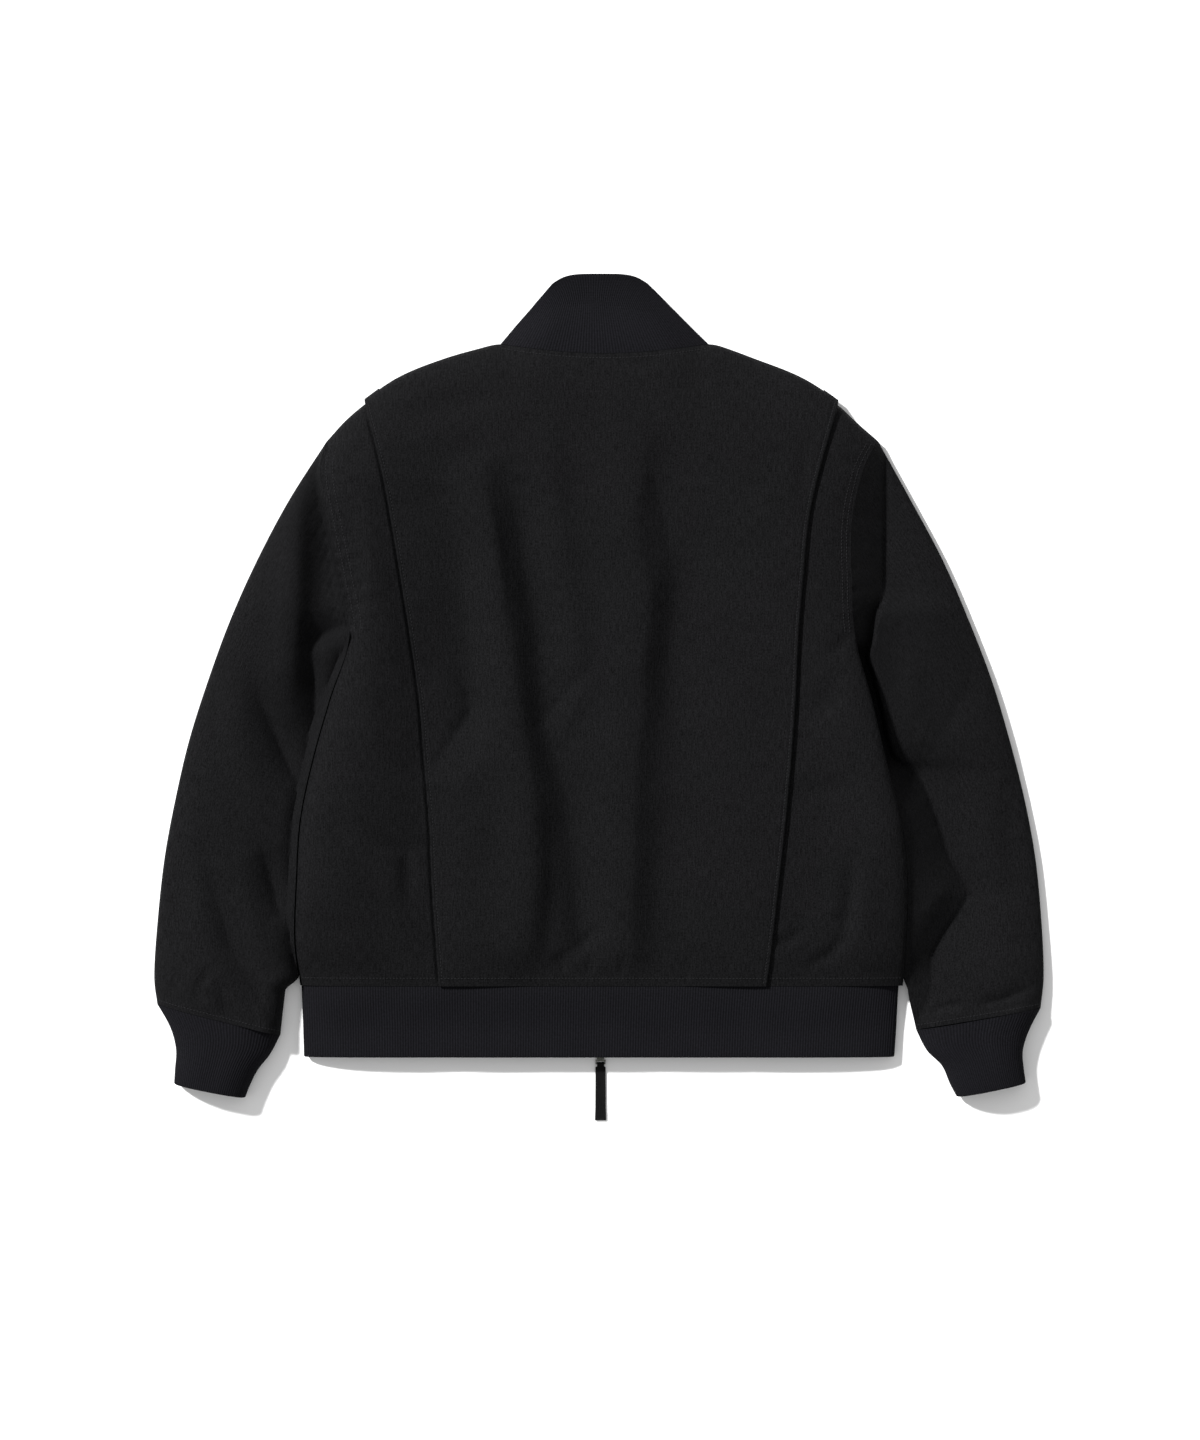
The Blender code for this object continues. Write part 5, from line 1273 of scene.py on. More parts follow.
def body_rows():
    """The rows of stitching on the body, each a line in plan."""
    rows = []
    for side, sign in SIGN.items():
        for inset in ARMHOLE_STITCHES[side]:
            rows.append(line_between(UNDERARM_Y + ROW_END, TIP_Y - ROW_END, ROW_STEP, lambda y, inset=inset:
                                     (float(edge_x(side, y)) - sign * inset, y)))
        rows.append(line_between(HEM_Y + ROW_END, FOLD_TOP_Y - ROW_END, ROW_STEP, lambda y:
                                 (float(fold_x(side, y)) - sign * PLEAT_STITCH, y)))
        edge, fold = float(edge_x(side, HEM_Y)), float(fold_x(side, HEM_Y))
        rows.append(line_between(edge - sign * 1.5, fold + sign * 1.0, ROW_STEP, lambda x:
                                 (x, HEM_Y + HEM_STITCH)))
    rows.append(line_between(float(fold_x("left", HEM_Y)) + 1.5, float(fold_x("right", HEM_Y)) - 1.5,
                             ROW_STEP, lambda x: (x, HEM_Y + HEM_STITCH)))
    rows.append(line_between(NECK_X - NECK_HALF + 1.0, NECK_X + NECK_HALF - 1.0, ROW_STEP, lambda x:
                             (x, float(top_y(x)) - NECK_STITCH)))
    return rows


def cuff_row(side):
    """The row round the upper side of a sleeve's end."""
    last = SLEEVE_ROWS[side][-1]
    outer, inner = Vector((last.outer_x, last.outer_y)), Vector((last.inner_x, last.inner_y))
    across = (inner - outer).normalized()
    back = Vector((-across.y, across.x)) * -SIGN[side] * CUFF_STITCH
    return line_between(0.01, 0.99, ROW_STEP / (inner - outer).length, lambda share:
                        tuple(outer.lerp(inner, share) + back))


# ---------------------------------------------------------------- zip and pull

TOOTH_LENGTH = 1.35         # along the zip
TOOTH_BEVEL = 0.25
ZIP_DROP_RUN = 14.0         # the zip sinks between the fronts over this distance
# Across a tape: distances from the zip's middle, and how thick it is there with its cord
TAPE_PROFILE = [(1.6, 1.5), (2.0, 1.9), (2.5, 1.9), (3.0, 1.5), (3.5, TAPE), (4.4, TAPE), (5.2, TAPE),
                (6.6, 0.8), (8.2, 0.8), (9.8, 0.8), (11.4, 0.8), (12.8, 0.9), (TAPE_WIDTH, 0.7)]
BESIDE_SLIDER = 5.2         # below the chain the tape is cut away up to here
TAPE_CELLS = 150
TAPE_FLOOR = 0.1            # the tape's underside is this much above the solid's


def zip_lines(side):
    """The zip's sections from the waistband's end up to the neck: place and underside."""
    slider_end = HINGE_Y + SLIDER_CLEAR + SLIDER_LENGTH + SEAM_GAP
    top = neckline(side, 0.0)[1] - 2.0
    return [(HEM_END_Y, ZIP_FLOOR), (slider_end, ZIP_FLOOR), (HEM_Y, ZIP_FLOOR),
            (HEM_Y + ZIP_DROP_RUN, ZIP_FLOOR - ZIP_DROP), (top, ZIP_FLOOR - ZIP_DROP)]


def build_tape(side, material):
    """Woven tape with a thicker cord that carries the teeth."""
    sign = SIGN[side]
    ys, floors = zip(*zip_lines(side))
    rows = [ys[0]] + [mix(ys[1], ys[-1], k / TAPE_CELLS) for k in range(TAPE_CELLS + 1)]
    upper, lower = [], []
    for y in rows:
        floor = float(np.interp(y, ys, floors))
        lift = 0.12 * math.sin(y / 9.0) * float(ease((y - HEM_Y - ZIP_DROP_RUN) / 20.0))
        upper.append([(ZIP_X + sign * x, y, floor + lift + thick) for x, thick in TAPE_PROFILE])
        lower.append([(ZIP_X + sign * x, y, floor + lift + TAPE_FLOOR) for x, _ in TAPE_PROFILE])

    def active(i, j):
        return i > 0 or TAPE_PROFILE[j][0] >= BESIDE_SLIDER

    return build_wall(f"zip_{side}_tape", upper, on_cloth(upper), TAPE, material,
                      active=active, flip=side == "left", inner=lower)


def tooth_shape():
    """One moulded tooth: a bevelled block, from its nose at the zip's middle to its clamp."""
    bpy.ops.object.select_all(action="DESELECT")
    bpy.ops.mesh.primitive_cube_add(size=1.0)
    block = bpy.context.object
    block.scale = (CHAIN_HALF - SEAM_GAP / 2, TOOTH_LENGTH, CHAIN - 0.2)
    bpy.ops.object.transform_apply(location=False, rotation=False, scale=True)
    bpy.ops.object.mode_set(mode="EDIT")
    bpy.ops.mesh.select_all(action="SELECT")
    bpy.ops.mesh.bevel(offset=TOOTH_BEVEL, segments=1, affect="EDGES")
    bpy.ops.object.mode_set(mode="OBJECT")
    points = [tuple(v.co) for v in block.data.vertices]
    faces = [tuple(face.vertices) for face in block.data.polygons]
    bpy.data.objects.remove(block, do_unlink=True)
    return points, faces


def build_teeth(side, material):
    """A row of teeth along a tape; the two sides' teeth alternate."""
    sign = SIGN[side]
    pitch = bpy.context.scene.jacket_sizes.tooth_pitch / MM
    points, faces = tooth_shape()
    ys, floors = zip(*zip_lines(side))
    start = ys[1] + pitch * (0.5 if side == "left" else 1.0)
    middle_x = ZIP_X + sign * (CHAIN_HALF + SEAM_GAP / 2) / 2
    bm = bmesh.new()
    for k in range(int((ys[-1] - 1.0 - start) / pitch) + 1):
        y = start + k * pitch
        z = float(np.interp(y, ys, floors)) + CHAIN / 2
        verts = [bm.verts.new((px + middle_x, py + y, pz + z)) for px, py, pz in points]
        for face in faces:
            bm.faces.new([verts[v] for v in face])
    return make_mesh(f"zip_{side}_teeth", bm, material)


TAB_STITCH_INSET = 1.3
TAB_STITCH_PITCH = 2.4
TAB_STITCH_SHARE = 0.8      # share of the pitch that the thread covers
TAB_STITCH_WIDTH = 0.4
TAB_STITCH_ENDS = (1.6, 5.0)    # from the tab's end, and from the link's bar
TAB_FLARE = [(0.0, 0.5), (4.0, 0.45), (12.0, 0.2)]      # from its end: how much wider it is there
TAB_FLAT = 4.4              # the two layers part this far before the link's bar
TAB_SHOULDER = 3.4          # then the tab narrows to pass through the link
TAB_WAIST = 2.6
TAB_IN_LINK = 1.3           # and is this much narrower there, on each side, than the link
TAB_CELLS = 14
# Across its upper layer: share of the half width, and how far the edge falls there
TAB_SECTION = [(-1.0, 0.22), (-0.97, 0.08), (-0.88, 0.0), (-0.6, 0.0), (-0.2, 0.0),
               (0.2, 0.0), (0.6, 0.0), (0.88, 0.0), (0.97, 0.08), (1.0, 0.22)]


def build_tab(material, thread):
    """A doubled strip, folded round the link's bar and stitched flat."""
    bar_y = HINGE_Y - LINK_BAR
    loop = HINGE_Z
    flat_end = bar_y - TAB_LENGTH
    doubled = 2.0 * TAB_WALL + 0.1
    loop_half = LINK_HALF - TAB_IN_LINK
    lower = [(flat_end + run, 0.0, TAB_HALF + wider) for run, wider in TAB_FLARE]
    flare_end, _, flare_half = lower[-1]
    for k in range(1, TAB_CELLS + 1):
        share = k / TAB_CELLS
        lower.append((mix(flare_end, bar_y - TAB_FLAT, share), 0.0, mix(flare_half, TAB_HALF, share)))
    path = lower + [(bar_y - TAB_SHOULDER, 0.0, TAB_HALF), (bar_y - TAB_WAIST, 0.0, loop_half)]
    for angle in range(-90, 91, 15):
        a = math.radians(angle)
        path.append((bar_y + loop * math.cos(a), loop * (1.0 + math.sin(a)), loop_half))
    path += [(bar_y - TAB_WAIST, 2.5, loop_half), (bar_y - TAB_SHOULDER, 2.3, TAB_HALF)]
    path += [(bar_y - TAB_FLAT, doubled + 0.2, TAB_HALF)]
    path += [(y, doubled, half) for y, _, half in reversed(lower[:-1])]
    grid = []
    for y, z, half in path:
        on_top = z > HINGE_Z + 0.1 and y < bar_y - 3.0
        grid.append([(ZIP_X + across * half, y, z - (fall if on_top else 0.0))
                     for across, fall in TAB_SECTION])
    tab = build_wall("pull_tab_strip", grid, on_cloth(grid), TAB_WALL - 0.1, material,
                     flip=True, body="pull")

    bm = bmesh.new()
    top = doubled + 0.02
    low_y, high_y = flat_end + TAB_STITCH_ENDS[0], bar_y - TAB_STITCH_ENDS[1]

    def add_row(a, b):
        run = (b - a).length
        count = max(1, int(round(run / TAB_STITCH_PITCH)))
        along = (b - a) / run
        for k in range(count):
            add_stitch(bm, a + along * ((k + 0.5) * run / count), along, Vector((0, 0, 1)),
                       run / count * TAB_STITCH_SHARE, TAB_STITCH_WIDTH)

    for sign in (-1.0, 1.0):
        x = ZIP_X + sign * (TAB_HALF - TAB_STITCH_INSET)
        add_row(Vector((x, low_y, top)), Vector((x, high_y, top)))
    for y in (low_y, high_y):
        add_row(Vector((ZIP_X - TAB_HALF + TAB_STITCH_INSET, y, top)),
                Vector((ZIP_X + TAB_HALF - TAB_STITCH_INSET, y, top)))
    stitches = make_mesh("pull_tab_stitches", bm, thread, body="pull")
    return tab, stitches


# ---------------------------------------------------------------- materials

LOOKS = [("Color", "NodeSocketColor"), ("Roughness", "NodeSocketFloat"), ("Height", "NodeSocketFloat")]
FULL_TURN = 2.0 * math.pi


def new_group(name, colour, numbers=()):
    """A node group that gives a place's looks: its wiring, its input sockets and its output node."""
    group = bpy.data.node_groups.new(name, "ShaderNodeTree")
    inputs = [("Vector", "NodeSocketVector", None), ("Color", "NodeSocketColor", (*colour, 1.0))]
    inputs += [(label, "NodeSocketFloat", default) for label, default in numbers]
    for label, kind, default in inputs:
        socket = group.interface.new_socket(name=label, in_out="INPUT", socket_type=kind)
        if default is not None:
            socket.default_value = default
    for label, kind in LOOKS:
        group.interface.new_socket(name=label, in_out="OUTPUT", socket_type=kind)
    start, end = group.nodes.new("NodeGroupInput"), group.nodes.new("NodeGroupOutput")
    return Wiring(group), start.outputs, end


class Wiring:
    """Adds nodes to a tree and links them."""

    def __init__(self, tree):
        self.tree = tree

    def math(self, operation, *values):
        """Result of a sum; its values are numbers or sockets."""
        node = self.tree.nodes.new("ShaderNodeMath")
        node.operation = operation
        for k, value in enumerate(values):
            self.feed(node.inputs[k], value)
        return node.outputs[0]

    def feed(self, socket, value):
        """Links a socket to a value that another node gives, or sets it to a number."""
        if isinstance(value, bpy.types.NodeSocket):
            self.tree.links.new(value, socket)
        else:
            socket.default_value = value

    def total(self, *parts):
        """Sum of values, each times its weight."""
        value, weight = parts[0]
        result = self.math("MULTIPLY", value, weight)
        for value, weight in parts[1:]:
            result = self.math("MULTIPLY_ADD", value, weight, result)
        return result

    def noise(self, vector, scale, detail=2.0, roughness=0.5, spread=None):
        """Noise from 0 to 1; a spread round its middle is drawn out to the whole range."""
        node = self.tree.nodes.new("ShaderNodeTexNoise")
        node.inputs["Scale"].default_value = scale
        node.inputs["Detail"].default_value = detail
        node.inputs["Roughness"].default_value = roughness
        self.tree.links.new(vector, node.inputs["Vector"])
        if spread is None:
            return node.outputs["Fac"]
        ramp = self.tree.nodes.new("ShaderNodeMapRange")
        ramp.inputs["From Min"].default_value = 0.5 - spread
        ramp.inputs["From Max"].default_value = 0.5 + spread
        self.tree.links.new(node.outputs["Fac"], ramp.inputs["Value"])
        return ramp.outputs["Result"]

    def stretch(self, vector, scale):
        """The place with each of its parts scaled."""
        node = self.tree.nodes.new("ShaderNodeVectorMath")
        node.operation = "MULTIPLY"
        node.inputs[1].default_value = scale
        self.tree.links.new(vector, node.inputs[0])
        return node.outputs[0]

    def split(self, vector):
        """The three parts of a place."""
        node = self.tree.nodes.new("ShaderNodeSeparateXYZ")
        self.tree.links.new(vector, node.inputs[0])
        return node.outputs

    def give_looks(self, end, colour, tone, roughness, height):
        """Hands a group's results over, with its colour scaled by the tone."""
        shade = self.tree.nodes.new("ShaderNodeVectorMath")
        shade.operation = "SCALE"
        self.feed(shade.inputs[0], colour)
        self.feed(shade.inputs["Scale"], tone)
        for (label, _), result in zip(LOOKS, (shade.outputs[0], roughness, height)):
            self.feed(end.inputs[label], result)


def wave(wiring, place, pitch):
    """A smooth wave from 0 to 1 that repeats every pitch."""
    angle = wiring.math("MULTIPLY", place, FULL_TURN / pitch)
    return wiring.math("MULTIPLY_ADD", wiring.math("SINE", angle), 0.5, 0.5)


def weave_group():
    """Dense corded cotton: upright cords crossed by a fine weft, with loose fibres and cloudiness. The tone
    is lighter on the cords and darker between them, painted shade in their grooves.
    """
    w, given, end = new_group("corded_cotton", (0.01, 0.01, 0.01), [("Cord Pitch", 0.0011), ("Grain", 0.5)])
    vector = given["Vector"]
    sway = w.math("MULTIPLY", w.math("SUBTRACT", w.noise(vector, 90.0, 2.0), 0.5), 0.0009)
    across, along, _ = w.split(vector)
    turns = w.math("DIVIDE", w.math("ADD", across, sway), given["Cord Pitch"])
    cords = w.math("MULTIPLY_ADD", w.math("SINE", w.math("MULTIPLY", turns, FULL_TURN)), 0.5, 0.5)
    half = w.math("PINGPONG", turns, 1.0)
    weft = wave(w, w.math("MULTIPLY_ADD", half, 0.00035, along), 0.0007)
    slub = w.noise(w.stretch(vector, (1.0, 0.12, 1.0)), 850.0, 2.0, 0.6, 0.18)
    fibre = w.noise(vector, 1500.0, 3.0, 0.7, 0.25)
    speck = w.noise(w.stretch(vector, (1.0, 0.6, 1.0)), 900.0, 2.0, 0.6, 0.16)
    cloud = w.noise(vector, 16.0, 4.0, 0.55, 0.3)
    height = w.total((weft, 0.2), (cords, 0.55), (fibre, 0.35), (slub, 0.25))
    # painted shade: the cords' wave darkens the tone in the grooves between the cords and lightens it on
    # their crests, as well as raising them
    tone = w.total((fibre, 0.5), (cords, 0.35), (slub, 0.45), (speck, 0.6))
    tone = w.math("MULTIPLY_ADD", w.math("SUBTRACT", tone, 0.95), given["Grain"], 1.0)
    tone = w.math("MAXIMUM", tone, 0.15)
    tone = w.math("MULTIPLY", tone, w.math("MULTIPLY_ADD", cloud, 0.22, 0.89))
    w.give_looks(end, given["Color"], tone, w.math("MULTIPLY_ADD", fibre, 0.12, 0.80), height)
    return w.tree


def rib_group():
    """Knit wales: loops that lean both ways along every rib, with a little fuzz. The tone is darker in the
    grooves between the ribs and loops, painted shade.
    """
    w, given, end = new_group("rib_knit", (0.01, 0.01, 0.012), [("Rib Pitch", 0.0024), ("Grain", 0.5)])
    vector = given["Vector"]
    across, along, _ = w.split(vector)
    turns = w.math("DIVIDE", across, given["Rib Pitch"])
    ribs = w.math("MULTIPLY_ADD", w.math("COSINE", w.math("MULTIPLY", turns, FULL_TURN)), 0.5, 0.5)
    lean = w.math("PINGPONG", turns, 0.5)
    loops = wave(w, w.math("MULTIPLY_ADD", lean, 0.0016, along), 0.0015)
    fibre = w.noise(vector, 1700.0, 3.0, 0.7, 0.25)
    speck = w.noise(vector, 520.0, 2.0, 0.6, 0.2)
    cloud = w.noise(vector, 30.0, 3.0, 0.5, 0.3)
    height = w.total((ribs, 0.3), (loops, 0.45), (fibre, 0.3))
    # painted shade: the ribs' and loops' waves darken the tone in their grooves, where the mesh's own
    # grooves lie
    tone = w.total((loops, 0.3), (ribs, 0.5), (fibre, 0.4), (speck, 0.6))
    tone = w.math("MULTIPLY_ADD", w.math("SUBTRACT", tone, 0.9), given["Grain"], 1.0)
    tone = w.math("MULTIPLY", tone, w.math("MULTIPLY_ADD", cloud, 0.16, 0.92))
    w.give_looks(end, given["Color"], tone, w.math("MULTIPLY_ADD", fibre, 0.1, 0.84), height)
    return w.tree


def wear_group():
    """Dulled and scratched metal."""
    w, given, end = new_group("worn_metal", (0.3, 0.3, 0.28))
    vector = given["Vector"]
    patch = w.noise(vector, 420.0, 4.0, 0.6, 0.22)
    scratch = w.noise(w.stretch(vector, (1.0, 0.08, 1.0)), 2600.0, 2.0, 0.6, 0.2)
    w.give_looks(end, given["Color"], w.math("MULTIPLY_ADD", patch, 0.4, 0.75),
                 w.math("MULTIPLY_ADD", scratch, 0.2, 0.44), w.math("MULTIPLY_ADD", scratch, 0.4, patch))
    return w.tree


def surface(name, group, colour, extra, relief, metallic=0.0, specular=0.2, sheen=0.0, uv=True):
    """A material that takes its looks from a node group; relief is its bumps' height in metres."""
    material = bpy.data.materials.new(name)
    material.use_nodes = True
    tree = material.node_tree
    shader = tree.nodes["Principled BSDF"]
    shader.inputs["Metallic"].default_value = metallic
    shader.inputs["Specular IOR Level"].default_value = specular
    shader.inputs["Sheen Weight"].default_value = sheen
    shader.inputs["Sheen Roughness"].default_value = 0.5
    if uv:
        place = tree.nodes.new("ShaderNodeUVMap")
        place.uv_map = "cloth"
        vector = place.outputs["UV"]
    else:
        place = tree.nodes.new("ShaderNodeTexCoord")
        vector = place.outputs["Object"]
    looks = tree.nodes.new("ShaderNodeGroup")
    looks.node_tree = group
    looks.inputs["Color"].default_value = (*colour, 1.0)
    for label, value in extra.items():
        looks.inputs[label].default_value = value
    tree.links.new(vector, looks.inputs["Vector"])
    bump = tree.nodes.new("ShaderNodeBump")
    bump.inputs["Strength"].default_value = 1.0
    bump.inputs["Distance"].default_value = relief
    tree.links.new(looks.outputs["Height"], bump.inputs["Height"])
    tree.links.new(looks.outputs["Color"], shader.inputs["Base Color"])
    tree.links.new(looks.outputs["Roughness"], shader.inputs["Roughness"])
    tree.links.new(bump.outputs["Normal"], shader.inputs["Normal"])
    return material


def find_material(name):
    """One of the jacket's materials, made when it is first asked for."""
    found = bpy.data.materials.get(name)
    if found:
        return found
    sizes, colours = bpy.context.scene.jacket_sizes, bpy.context.scene.jacket_colours
    groups = bpy.data.node_groups
    weave = groups.get("corded_cotton") or weave_group()
    knit = groups.get("rib_knit") or rib_group()
    metal = groups.get("worn_metal") or wear_group()
    if name == "black_cotton":
        return surface(name, weave, colours.cloth, {"Cord Pitch": sizes.cord_pitch, "Grain": 1.5}, 0.00022,
                       specular=0.04)
    if name == "black_rib":
        return surface(name, knit, colours.rib, {"Rib Pitch": sizes.rib_pitch, "Grain": 0.9}, 0.0002,
                       specular=0.05)
    if name == "black_tape":
        return surface(name, weave, colours.tape, {"Cord Pitch": 0.0008, "Grain": 0.4}, 0.00008)
    if name == "black_tab":
        return surface(name, weave, colours.tab, {"Cord Pitch": 0.0009, "Grain": 0.8}, 0.00008,
                       specular=0.05)
    if name == "black_thread":
        return surface(name, weave, colours.thread, {"Cord Pitch": 0.0003, "Grain": 0.3}, 0.00005,
                       specular=0.05, uv=False)
    return surface(name, metal, colours.metal, {}, 0.00002, metallic=1.0, specular=0.5, uv=False)


# ---------------------------------------------------------------- settings, operators and panel


def length_setting(name, description, default, low, high):
    """A setting in metres."""
    return FloatProperty(name=name, description=description, default=default, min=low, max=high,
                         subtype="DISTANCE", unit="LENGTH")


def angle_setting(name, description, default, low, high):
    """A setting in degrees, kept in radians."""
    return FloatProperty(name=name, description=description, default=math.radians(default),
                         min=math.radians(low), max=math.radians(high), subtype="ANGLE", unit="ROTATION")


def colour_setting(name, description, default):
    """A colour that can be set."""
    return FloatVectorProperty(name=name, description=description, default=default, min=0.0, max=1.0,
                               subtype="COLOR", size=3)


class JacketSizes(bpy.types.PropertyGroup):
    """Sizes of the creases, the knit, the cotton, the stitches and the zip"""
    crease_strength: FloatProperty(
        name="Crease Strength", description="How deep the creases are, as a share of those shown",
        default=1.0, min=0.0, max=1.3, subtype="FACTOR")
    rib_pitch: length_setting("Rib Pitch", "Distance from one knitted rib to the next",
                              0.0024, 0.0018, 0.005)
    rib_depth: length_setting("Rib Depth", "Depth of the grooves between the ribs", 0.00045, 0.0, 0.001)
    cord_pitch: length_setting("Cord Pitch", "Distance from one upright cord of the cotton to the next",
                               0.0011, 0.0006, 0.003)
    stitch_pitch: length_setting("Stitch Pitch", "Length of one stitch with the gap after it",
                                 0.0031, 0.002, 0.006)
    stitch_width: length_setting("Stitch Width", "Thickness of the sewing thread", 0.0007, 0.0003, 0.0012)
    tooth_pitch: length_setting("Tooth Pitch", "Distance from one tooth of a zip tape to the next",
                                0.0026, 0.002, 0.004)


class JacketColours(bpy.types.PropertyGroup):
    """Colours of everything that the jacket is made of"""
    cloth: colour_setting("Cloth", "Colour of the corded cotton", (0.0052, 0.0052, 0.0056))
    rib: colour_setting("Rib Knit", "Colour of collar, cuffs and waistband", (0.0053, 0.0052, 0.0065))
    tape: colour_setting("Zip Tape", "Colour of the woven zip tapes", (0.009, 0.009, 0.010))
    thread: colour_setting("Thread", "Colour of the sewing thread", (0.0150, 0.0150, 0.0160))
    tab: colour_setting("Pull Tab", "Colour of the strip on the zip's pull", (0.0048, 0.0047, 0.0048))
    metal: colour_setting("Metal", "Colour of slider, link and teeth", (0.130, 0.134, 0.117))


class JacketStage(bpy.types.PropertyGroup):
    """The camera's place and the strength and direction of the light"""
    camera_height: length_setting("Camera Height", "Height of the camera above the surface", 4.0, 2.0, 10.0)
    view_height: length_setting("View Height", "Length of surface that the picture takes in, top to bottom",
                                1.3392, 0.9, 3.0)
    light_bearing: angle_setting(
        "Light Bearing", "Where the main light stands, turned from the right of the view",
        140.0, 0.0, 360.0)
    light_elevation: angle_setting("Light Elevation", "Height of the main light above the surface",
                                   36.0, 6.0, 86.0)
    light_strength: FloatProperty(
        name="Light Strength", description="Strength of the main light", default=6.5, min=0.0, max=20.0)
    fill_strength: FloatProperty(
        name="Fill Strength", description="Strength of the even light from all round",
        default=0.62, min=0.0, max=5.0)


def take(node, *pieces):
    """Hides the solid that these pieces take the place of."""
    for piece in pieces:
        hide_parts(node)


class JACKET_OT_fronts(bpy.types.Operator):
    """Lay the two fronts on the surface"""
    bl_idname = "jacket.fronts"
    bl_label = "Fronts"

    def execute(self, context):
        for side in SIGN:
            piece = build_front(side, find_material("black_cotton"))
            take(f"front_{side}", piece)
        return {"FINISHED"}


class JACKET_OT_back(bpy.types.Operator):
    """Shape the centre and the side panels of the back with their pleats and creases"""
    bl_idname = "jacket.back"
    bl_label = "Back"

    def execute(self, context):
        for side in SIGN:
            piece = build_side(side, find_material("black_cotton"))
            take(f"back_side_{side}", piece)
        piece = build_centre(find_material("black_cotton"))
        take("back_centre", piece)
        return {"FINISHED"}


class JACKET_OT_sleeves(bpy.types.Operator):
    """Shape both sleeves with their creases"""
    bl_idname = "jacket.sleeves"
    bl_label = "Sleeves"

    def execute(self, context):
        for side in SIGN:
            piece = build_sleeve(side, find_material("black_cotton"))
            take(f"sleeve_{side}", piece)
        return {"FINISHED"}


class JACKET_OT_ribs(bpy.types.Operator):
    """Knit the waistband, the cuffs and the collar"""
    bl_idname = "jacket.ribs"
    bl_label = "Rib Knit"

    def execute(self, context):
        knit = find_material("black_rib")
        hem = build_hem(knit)
        take("hem_band", hem)
        for side in SIGN:
            cuff = build_cuff(side, knit)
            take(f"cuff_{side}", cuff)
        collar = build_collar(knit)
        take("collar", collar)
        return {"FINISHED"}


class JACKET_OT_stitching(bpy.types.Operator):
    """Sew the rows of stitching on body and sleeves"""
    bl_idname = "jacket.stitching"
    bl_label = "Stitching"

    def execute(self, context):
        thread = find_material("black_thread")
        names = ("back_centre_cloth", "back_side_left_cloth", "back_side_right_cloth")
        trees = [cloth_tree(bpy.data.objects[name]) for name in names]
        bm = bmesh.new()
        for line in body_rows():
            stitch_row(bm, trees, line)
        make_mesh("body_stitches", bm, thread)
        for side in SIGN:
            bm = bmesh.new()
            stitch_row(bm, [cloth_tree(bpy.data.objects[f"sleeve_{side}_cloth"])], cuff_row(side))
            make_mesh(f"sleeve_{side}_stitches", bm, thread)
        return {"FINISHED"}


class JACKET_OT_zip(bpy.types.Operator):
    """Make the zip's tapes and teeth, and finish its slider"""
    bl_idname = "jacket.zip"
    bl_label = "Zip"

    def execute(self, context):
        metal = find_material("grey_metal")
        for side in SIGN:
            tape = build_tape(side, find_material("black_tape"))
            teeth = build_teeth(side, metal)
            take(f"zip_{side}", tape, teeth)
        frame["nodes"]["slider"].material_slots[0].material = metal
        return {"FINISHED"}


class JACKET_OT_pull(bpy.types.Operator):
    """Make the strip on the zip's pull, and finish its link"""
    bl_idname = "jacket.pull"
    bl_label = "Pull"

    def execute(self, context):
        frame["nodes"]["pull_link"].material_slots[0].material = find_material("grey_metal")
        tab, stitches = build_tab(find_material("black_tab"), find_material("black_thread"))
        take("pull_tab", tab, stitches)
        return {"FINISHED"}


# The stage, in metres and degrees
FLOOR_SIZE = 12.0
CAMERA_X, CAMERA_Y = 0.001, -0.0209
SENSOR_WIDTH = 36.0         # millimetres
LAMP_DISTANCE = 3.0
SUN_WIDTH = 5.0
PAPER_COLOUR = (0.93, 0.93, 0.93, 1.0)


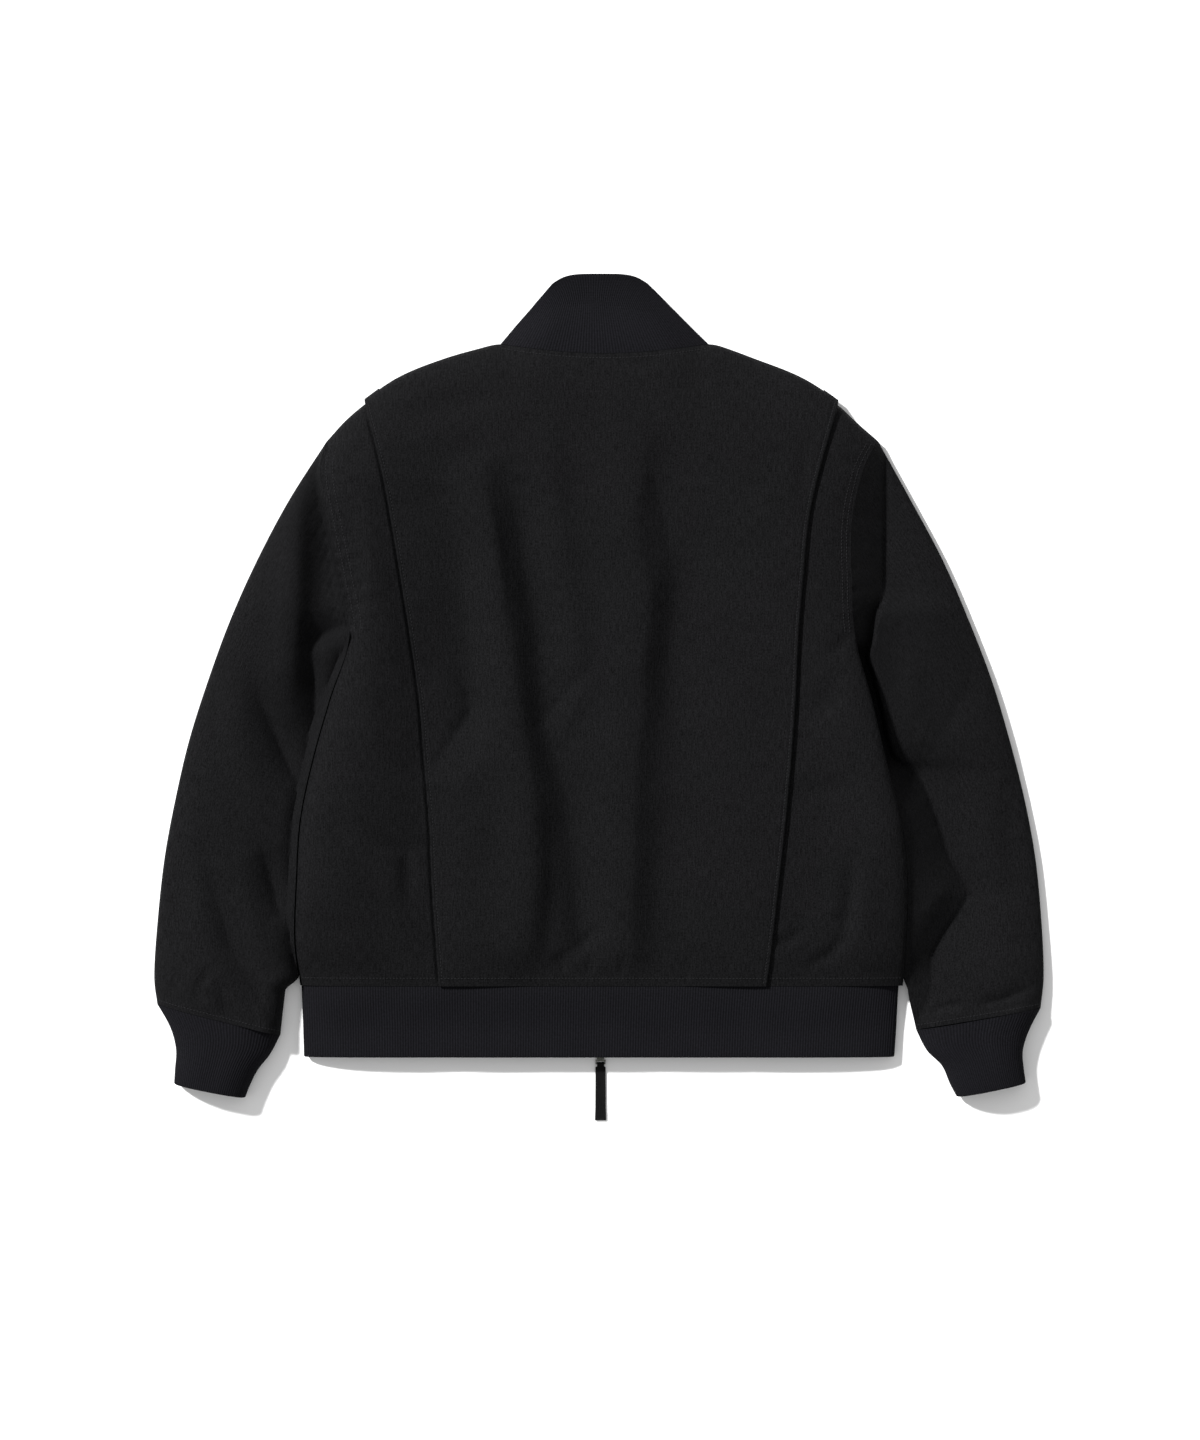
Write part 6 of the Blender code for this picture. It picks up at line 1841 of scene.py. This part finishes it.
class JACKET_OT_stage(bpy.types.Operator):
    """Set the floor, the lights and the camera"""
    bl_idname = "jacket.stage"
    bl_label = "Stage"

    def execute(self, context):
        stage = context.scene.jacket_stage
        bpy.ops.object.select_all(action="DESELECT")
        bpy.ops.mesh.primitive_plane_add(size=FLOOR_SIZE, location=(0.0, 0.0, 0.0))
        floor = context.object
        floor.name = "floor"
        paper = bpy.data.materials.new("pale_paper")
        paper.use_nodes = True
        shader = paper.node_tree.nodes["Principled BSDF"]
        shader.inputs["Base Color"].default_value = PAPER_COLOUR
        shader.inputs["Roughness"].default_value = 0.9
        shader.inputs["Specular IOR Level"].default_value = 0.1
        floor.data.materials.append(paper)

        world = bpy.data.worlds.new("even_light")
        world.use_nodes = True
        background = world.node_tree.nodes["Background"]
        background.inputs["Color"].default_value = (1.0, 1.0, 1.0, 1.0)
        background.inputs["Strength"].default_value = stage.fill_strength
        context.scene.world = world

        sun = bpy.data.lights.new("main_light", "SUN")
        sun.energy = stage.light_strength
        sun.angle = math.radians(SUN_WIDTH)
        lamp = bpy.data.objects.new("main_light", sun)
        towards = Vector((math.cos(stage.light_bearing) * math.cos(stage.light_elevation),
                          math.sin(stage.light_bearing) * math.cos(stage.light_elevation),
                          math.sin(stage.light_elevation)))
        lamp.rotation_euler = towards.to_track_quat("Z", "Y").to_euler()
        lamp.location = towards * LAMP_DISTANCE
        context.scene.collection.objects.link(lamp)

        data = bpy.data.cameras.new("camera")
        data.sensor_width = SENSOR_WIDTH
        data.lens = data.sensor_width * stage.camera_height / stage.view_height
        data.clip_end = 20.0
        camera = bpy.data.objects.new("camera", data)
        camera.location = (CAMERA_X, CAMERA_Y, stage.camera_height)
        context.scene.collection.objects.link(camera)
        context.scene.camera = camera
        context.scene.view_settings.view_transform = "Standard"
        return {"FINISHED"}


STEPS = ("stage", "fronts", "back", "sleeves", "ribs", "stitching", "zip", "pull")
OPERATORS = (JACKET_OT_stage, JACKET_OT_fronts, JACKET_OT_back, JACKET_OT_sleeves, JACKET_OT_ribs,
             JACKET_OT_stitching, JACKET_OT_zip, JACKET_OT_pull)


class JACKET_PT_panel(bpy.types.Panel):
    """Sizes, colours and steps of the tanker jacket"""
    bl_label = "Tanker Jacket"
    bl_idname = "JACKET_PT_panel"
    bl_space_type = "VIEW_3D"
    bl_region_type = "UI"
    bl_category = "Jacket"

    def draw(self, context):
        layout = self.layout
        for group in (context.scene.jacket_sizes, context.scene.jacket_colours, context.scene.jacket_stage):
            box = layout.box()
            for label in group.__annotations__:
                box.prop(group, label)
        for operator in OPERATORS:
            layout.operator(operator.bl_idname)


CLASSES = (JacketSizes, JacketColours, JacketStage, *OPERATORS, JACKET_PT_panel)


def register():
    for item in CLASSES:
        bpy.utils.register_class(item)
    bpy.types.Scene.jacket_sizes = PointerProperty(type=JacketSizes)
    bpy.types.Scene.jacket_colours = PointerProperty(type=JacketColours)
    bpy.types.Scene.jacket_stage = PointerProperty(type=JacketStage)


def unregister():
    del bpy.types.Scene.jacket_stage
    del bpy.types.Scene.jacket_colours
    del bpy.types.Scene.jacket_sizes
    for item in reversed(CLASSES):
        bpy.utils.unregister_class(item)


def main():
    """Registers the add-on and runs its steps in order."""
    register()
    for step in STEPS:
        getattr(bpy.ops.jacket, step)()


if __name__ == "__main__":
    main()
